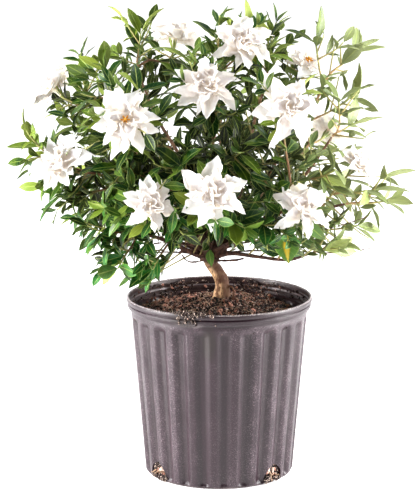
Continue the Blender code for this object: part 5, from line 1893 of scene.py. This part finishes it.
def build_spray(node, routes, leaves, firm, room, tree):
    """One spray: its stems and leaves as in the solid, more leaves and side shoots along them, and its calyces."""
    draw = random.Random(f"{SEED} fine {node}")
    foliage = Foliage(node, firm, room)
    growth = foliage.growth
    fine = []
    last = STEM_POINTS - 1
    for route, _, target in routes:
        in_bloom = isinstance(target, str)
        points = smooth_route(route, STEM_POINTS)
        radii = stepped(STEM_RADIUS, STEM_TIP_RADIUS, STEM_POINTS)
        if in_bloom:
            radii[-3:] = [1.1 * MM, 1.6 * MM, 1.9 * MM]
        growth.stem(points, radii, [max(0.0, 1.5 * k / last - 0.5) for k in range(STEM_POINTS)])
        fine.append((points, in_bloom))
    for base, way, face, length, width, _, curl in leaves:
        _, n, k = min(
            ((point - base).length, n, k) for n, (points, _) in enumerate(fine) for k, point in enumerate(points)
        )
        tone = darkened(base + way * length, draw.gauss(0.10 + 0.35 * k / last, 0.42))
        form = drawn(draw, LEAF_FORM)
        if not covers_a_bloom(base + way * length * 0.8):
            foot = base.lerp(fine[n][0][k], 0.5)
            growth.blade(foot, way, face, length * 0.90, width * 0.88, curl, tone, **form)
    for points, in_bloom in fine:
        count = max(2, int(route_length(points) / NODE_SPACING))
        turn = draw.uniform(0, math.tau)
        for n in range(count):
            share = 0.12 + 0.84 * n / count
            point, along = place_on(points, share)
            tone = draw.gauss(0.05 + 0.35 * share, 0.38)
            for half in range(2):
                foliage.try_leaf(point, along, turn + math.pi * half, (42, 66), (14, 27), tone, draw)
            foliage.side_shoot(point, along, turn + math.pi / 2, draw.uniform(14, 34) * MM, draw)
            turn += math.pi / 2 + draw.uniform(-0.3, 0.3)
        if in_bloom:
            add_sepals(growth, points, draw)
    growth.build(node.replace("spray", "foliage"), tree, "leaf_green", node, **LEAF_SHAPING)
    return foliage.count + len(leaves)


def add_sepals(growth, points, draw):
    """The narrow green sepals round the top of a calyx."""
    end, along = points[-1], (points[-1] - points[-2]).normalized()
    for k in range(CALYX_SEPALS):
        side = side_of(along, math.tau * k / CALYX_SEPALS)
        growth.blade(end + side * 1.2 * MM - along * 1.5 * MM, (along + side * 0.35).normalized(), -side,
                     draw.uniform(9, 13) * MM, 2.0 * MM, -0.1, 0.7, fold=0.2)


def build_inner_foliage(limb, firm, room, tree):
    """The leafy shoots that grow straight from a limb and fill the inside of the crown."""
    draw = random.Random(f"{SEED} inner {limb}")
    foliage = Foliage("inner_" + limb, firm, room)
    route = smooth_route(limb_route(limb), INNER_ROUTE_POINTS)
    turn = draw.uniform(0, math.tau)
    for k in range(INNER_SHOOTS):
        point, along = place_on(route, 0.22 + 0.76 * k / INNER_SHOOTS)
        for _ in range(2):
            foliage.side_shoot(point, along, turn, draw.uniform(20, 52) * MM, draw)
            turn += math.pi * draw.uniform(0.75, 1.1)
        turn += 0.8
    foliage.growth.build("inner_foliage_" + limb, tree, "leaf_green", **LEAF_SHAPING)
    return foliage.count


def build_lone_leaves(tree):
    """A small leaf before the fork, and a broad yellowing leaf that hangs below the right side of the crown."""
    draw = random.Random(f"{SEED} lone")
    growth = Growth()
    for limb_end, base, way, length, width, tone in (
        ((-9, -4, 203), (-9, -12, 205), (0.10, -0.25, -1.0), 17, 7.5, 0.45),
        ((53, -62, 240), (56, -78, 232), (0.05, -0.22, -1.0), 27, 21, 2.0),
    ):
        start = mm(limb_end)
        foot = mm(base)
        way = Vector(way).normalized()
        route = bent_route(start, (foot - start).normalized(), foot, way, 5)
        growth.stem(route, [0.8 * MM, 0.7 * MM, 0.6 * MM, 0.55 * MM, 0.5 * MM], [0.5] * 5)
        form = {**drawn(draw, LEAF_FORM), "wave": 0.02, "twist": 0.0, "sway": 0.05}
        growth.blade(foot, way, Vector((0, -1, 0.1)), length * MM, width * MM, 0.05, tone, **form)
    growth.build("lone_leaves", tree, "leaf_green", **LONE_SHAPING)


def firm_room(wood):
    """The room that the wood and the blooms take up."""
    room = Room()
    for mesh in wood:
        room.add("trunk_and_limbs", mesh)
    for name in BLOOMS:
        for bm in bloom_blades(name):
            room.add("bloom_" + name, bm)
            bm.free()
    return room


def build_foliage():
    """Every spray, the shoots inside the crown and the lone leaves."""
    wood = wood_tubes()
    stems_room = firm_room(wood)
    stems = place_stems(SPRAYS, stems_room)
    leaves = place_leaves(stems, stems_room)
    firm = firm_room(wood)
    room = Room()
    for shape in [shape for shapes in leaves.values() for shape in shapes]:
        bm = blade(*shape)
        room.add("leaf", bm)
        bm.free()
    tree = growing_tree("leafy_spray", LEAF, LEAF_UNDER, STEM)
    total = 0
    for node, routes in stems:
        total += build_spray(node, routes, leaves[node], firm, room, tree)
    for limb in LIMBS:
        total += build_inner_foliage(limb, firm, room, tree)
    build_lone_leaves(tree)
    print("leaves:", total)


# Stage, light and camera

FLOOR_REACH = 60.0
CAMERA_PLACE = (-0.0089, -1.8, 0.563)
CAMERA_TILT = math.radians(90 - 11.34)
CAMERA_LENS = 150.1
# Softboxes: place, the spot that each faces, size in metres and power in watts
LIGHTS = {
    "left_softbox": ((-1.3, -0.35, 0.5), (0, 0, 0.2), (0.7, 1.0), 50),
    "right_softbox": ((1.3, -0.10, 0.5), (0, 0, 0.2), (0.7, 1.0), 46),
    "top_softbox": ((-0.2, -0.7, 1.7), (0, 0, 0.28), (0.4, 0.4), 11),
}


def build_stage():
    """A wide pale floor that glows a little, less so before the pot and beside it."""
    bm = bmesh.new()
    bmesh.ops.create_grid(bm, x_segments=24, y_segments=24, size=FLOOR_REACH)
    for vert in bm.verts:
        vert.co.z = -0.2 * MM
    mesh = mesh_from(bm, "studio_floor")
    nodes = Finish("pale_floor", 0.85, Emission_Strength=0.55)
    x, y, _ = nodes.apart(nodes.place)
    lit = y.within(-0.55, -0.09).of("MAXIMUM", x.of("ABSOLUTE").within(0.15, 0.70))
    pale = nodes.mixed(nodes.speckle(3.0, 2.0), (0.93, 0.93, 0.93), (0.96, 0.96, 0.96))
    glow = nodes.mixed(lit, (0.55, 0.55, 0.55), (1, 1, 1))
    mesh.materials.append(nodes.give(Base_Color=pale, Emission_Color=glow))
    floor = bpy.data.objects.new("studio_floor", mesh)
    bpy.context.scene.collection.objects.link(floor)


def add_light(name, place, target, size, power):
    """A softbox at a place, turned to its target."""
    light = bpy.data.lights.new(name, "AREA")
    light.shape = "RECTANGLE"
    light.size, light.size_y = size
    light.energy = power
    made = bpy.data.objects.new(name, light)
    made.location = place
    made.rotation_euler = (Vector(target) - Vector(place)).to_track_quat("-Z", "Y").to_euler()
    bpy.context.scene.collection.objects.link(made)


def build_camera():
    """The camera that sees the plant as in the photograph."""
    camera = bpy.data.cameras.new("photo_camera")
    camera.sensor_width = 36
    camera.lens = CAMERA_LENS
    camera.clip_start = 0.05
    camera.clip_end = 20
    made = bpy.data.objects.new("photo_camera", camera)
    made.location = CAMERA_PLACE
    made.rotation_euler = (CAMERA_TILT, 0, 0)
    bpy.context.scene.collection.objects.link(made)
    bpy.context.scene.camera = made


def build_studio():
    """The floor, a sky that is brightest behind and below, the softboxes and the camera."""
    build_stage()
    world = bpy.data.worlds.new("studio")
    world.use_nodes = True
    nodes = Nodes(world.node_tree)
    _, back, high = nodes.apart(nodes.add("ShaderNodeTexCoord", None, None, "Generated"))
    white = (1.0, 1.0, 1.0)
    sky = nodes.mixed(back.within(-0.9, 0.0), (0.06, 0.06, 0.06), (0.24, 0.24, 0.24))
    sky = nodes.mixed(high.within(0.08, 0.20), white, nodes.mixed(back.within(0.30, 0.65), sky, white))
    nodes.tree.links.new(sky.socket, world.node_tree.nodes["Background"].inputs["Color"])
    scene = bpy.context.scene
    scene.world = world
    scene.view_settings.view_transform = "Standard"
    scene.view_settings.look = "Medium High Contrast"
    for name, facts in LIGHTS.items():
        add_light(name, *facts)
    build_camera()


build_studio()
build_fluted_pot()
build_peat()
build_loose_soil()
build_fibres()
build_bark()
build_flowers()
build_hearts()
build_foliage()
bpy.data.collections.remove(WORKSHOP)
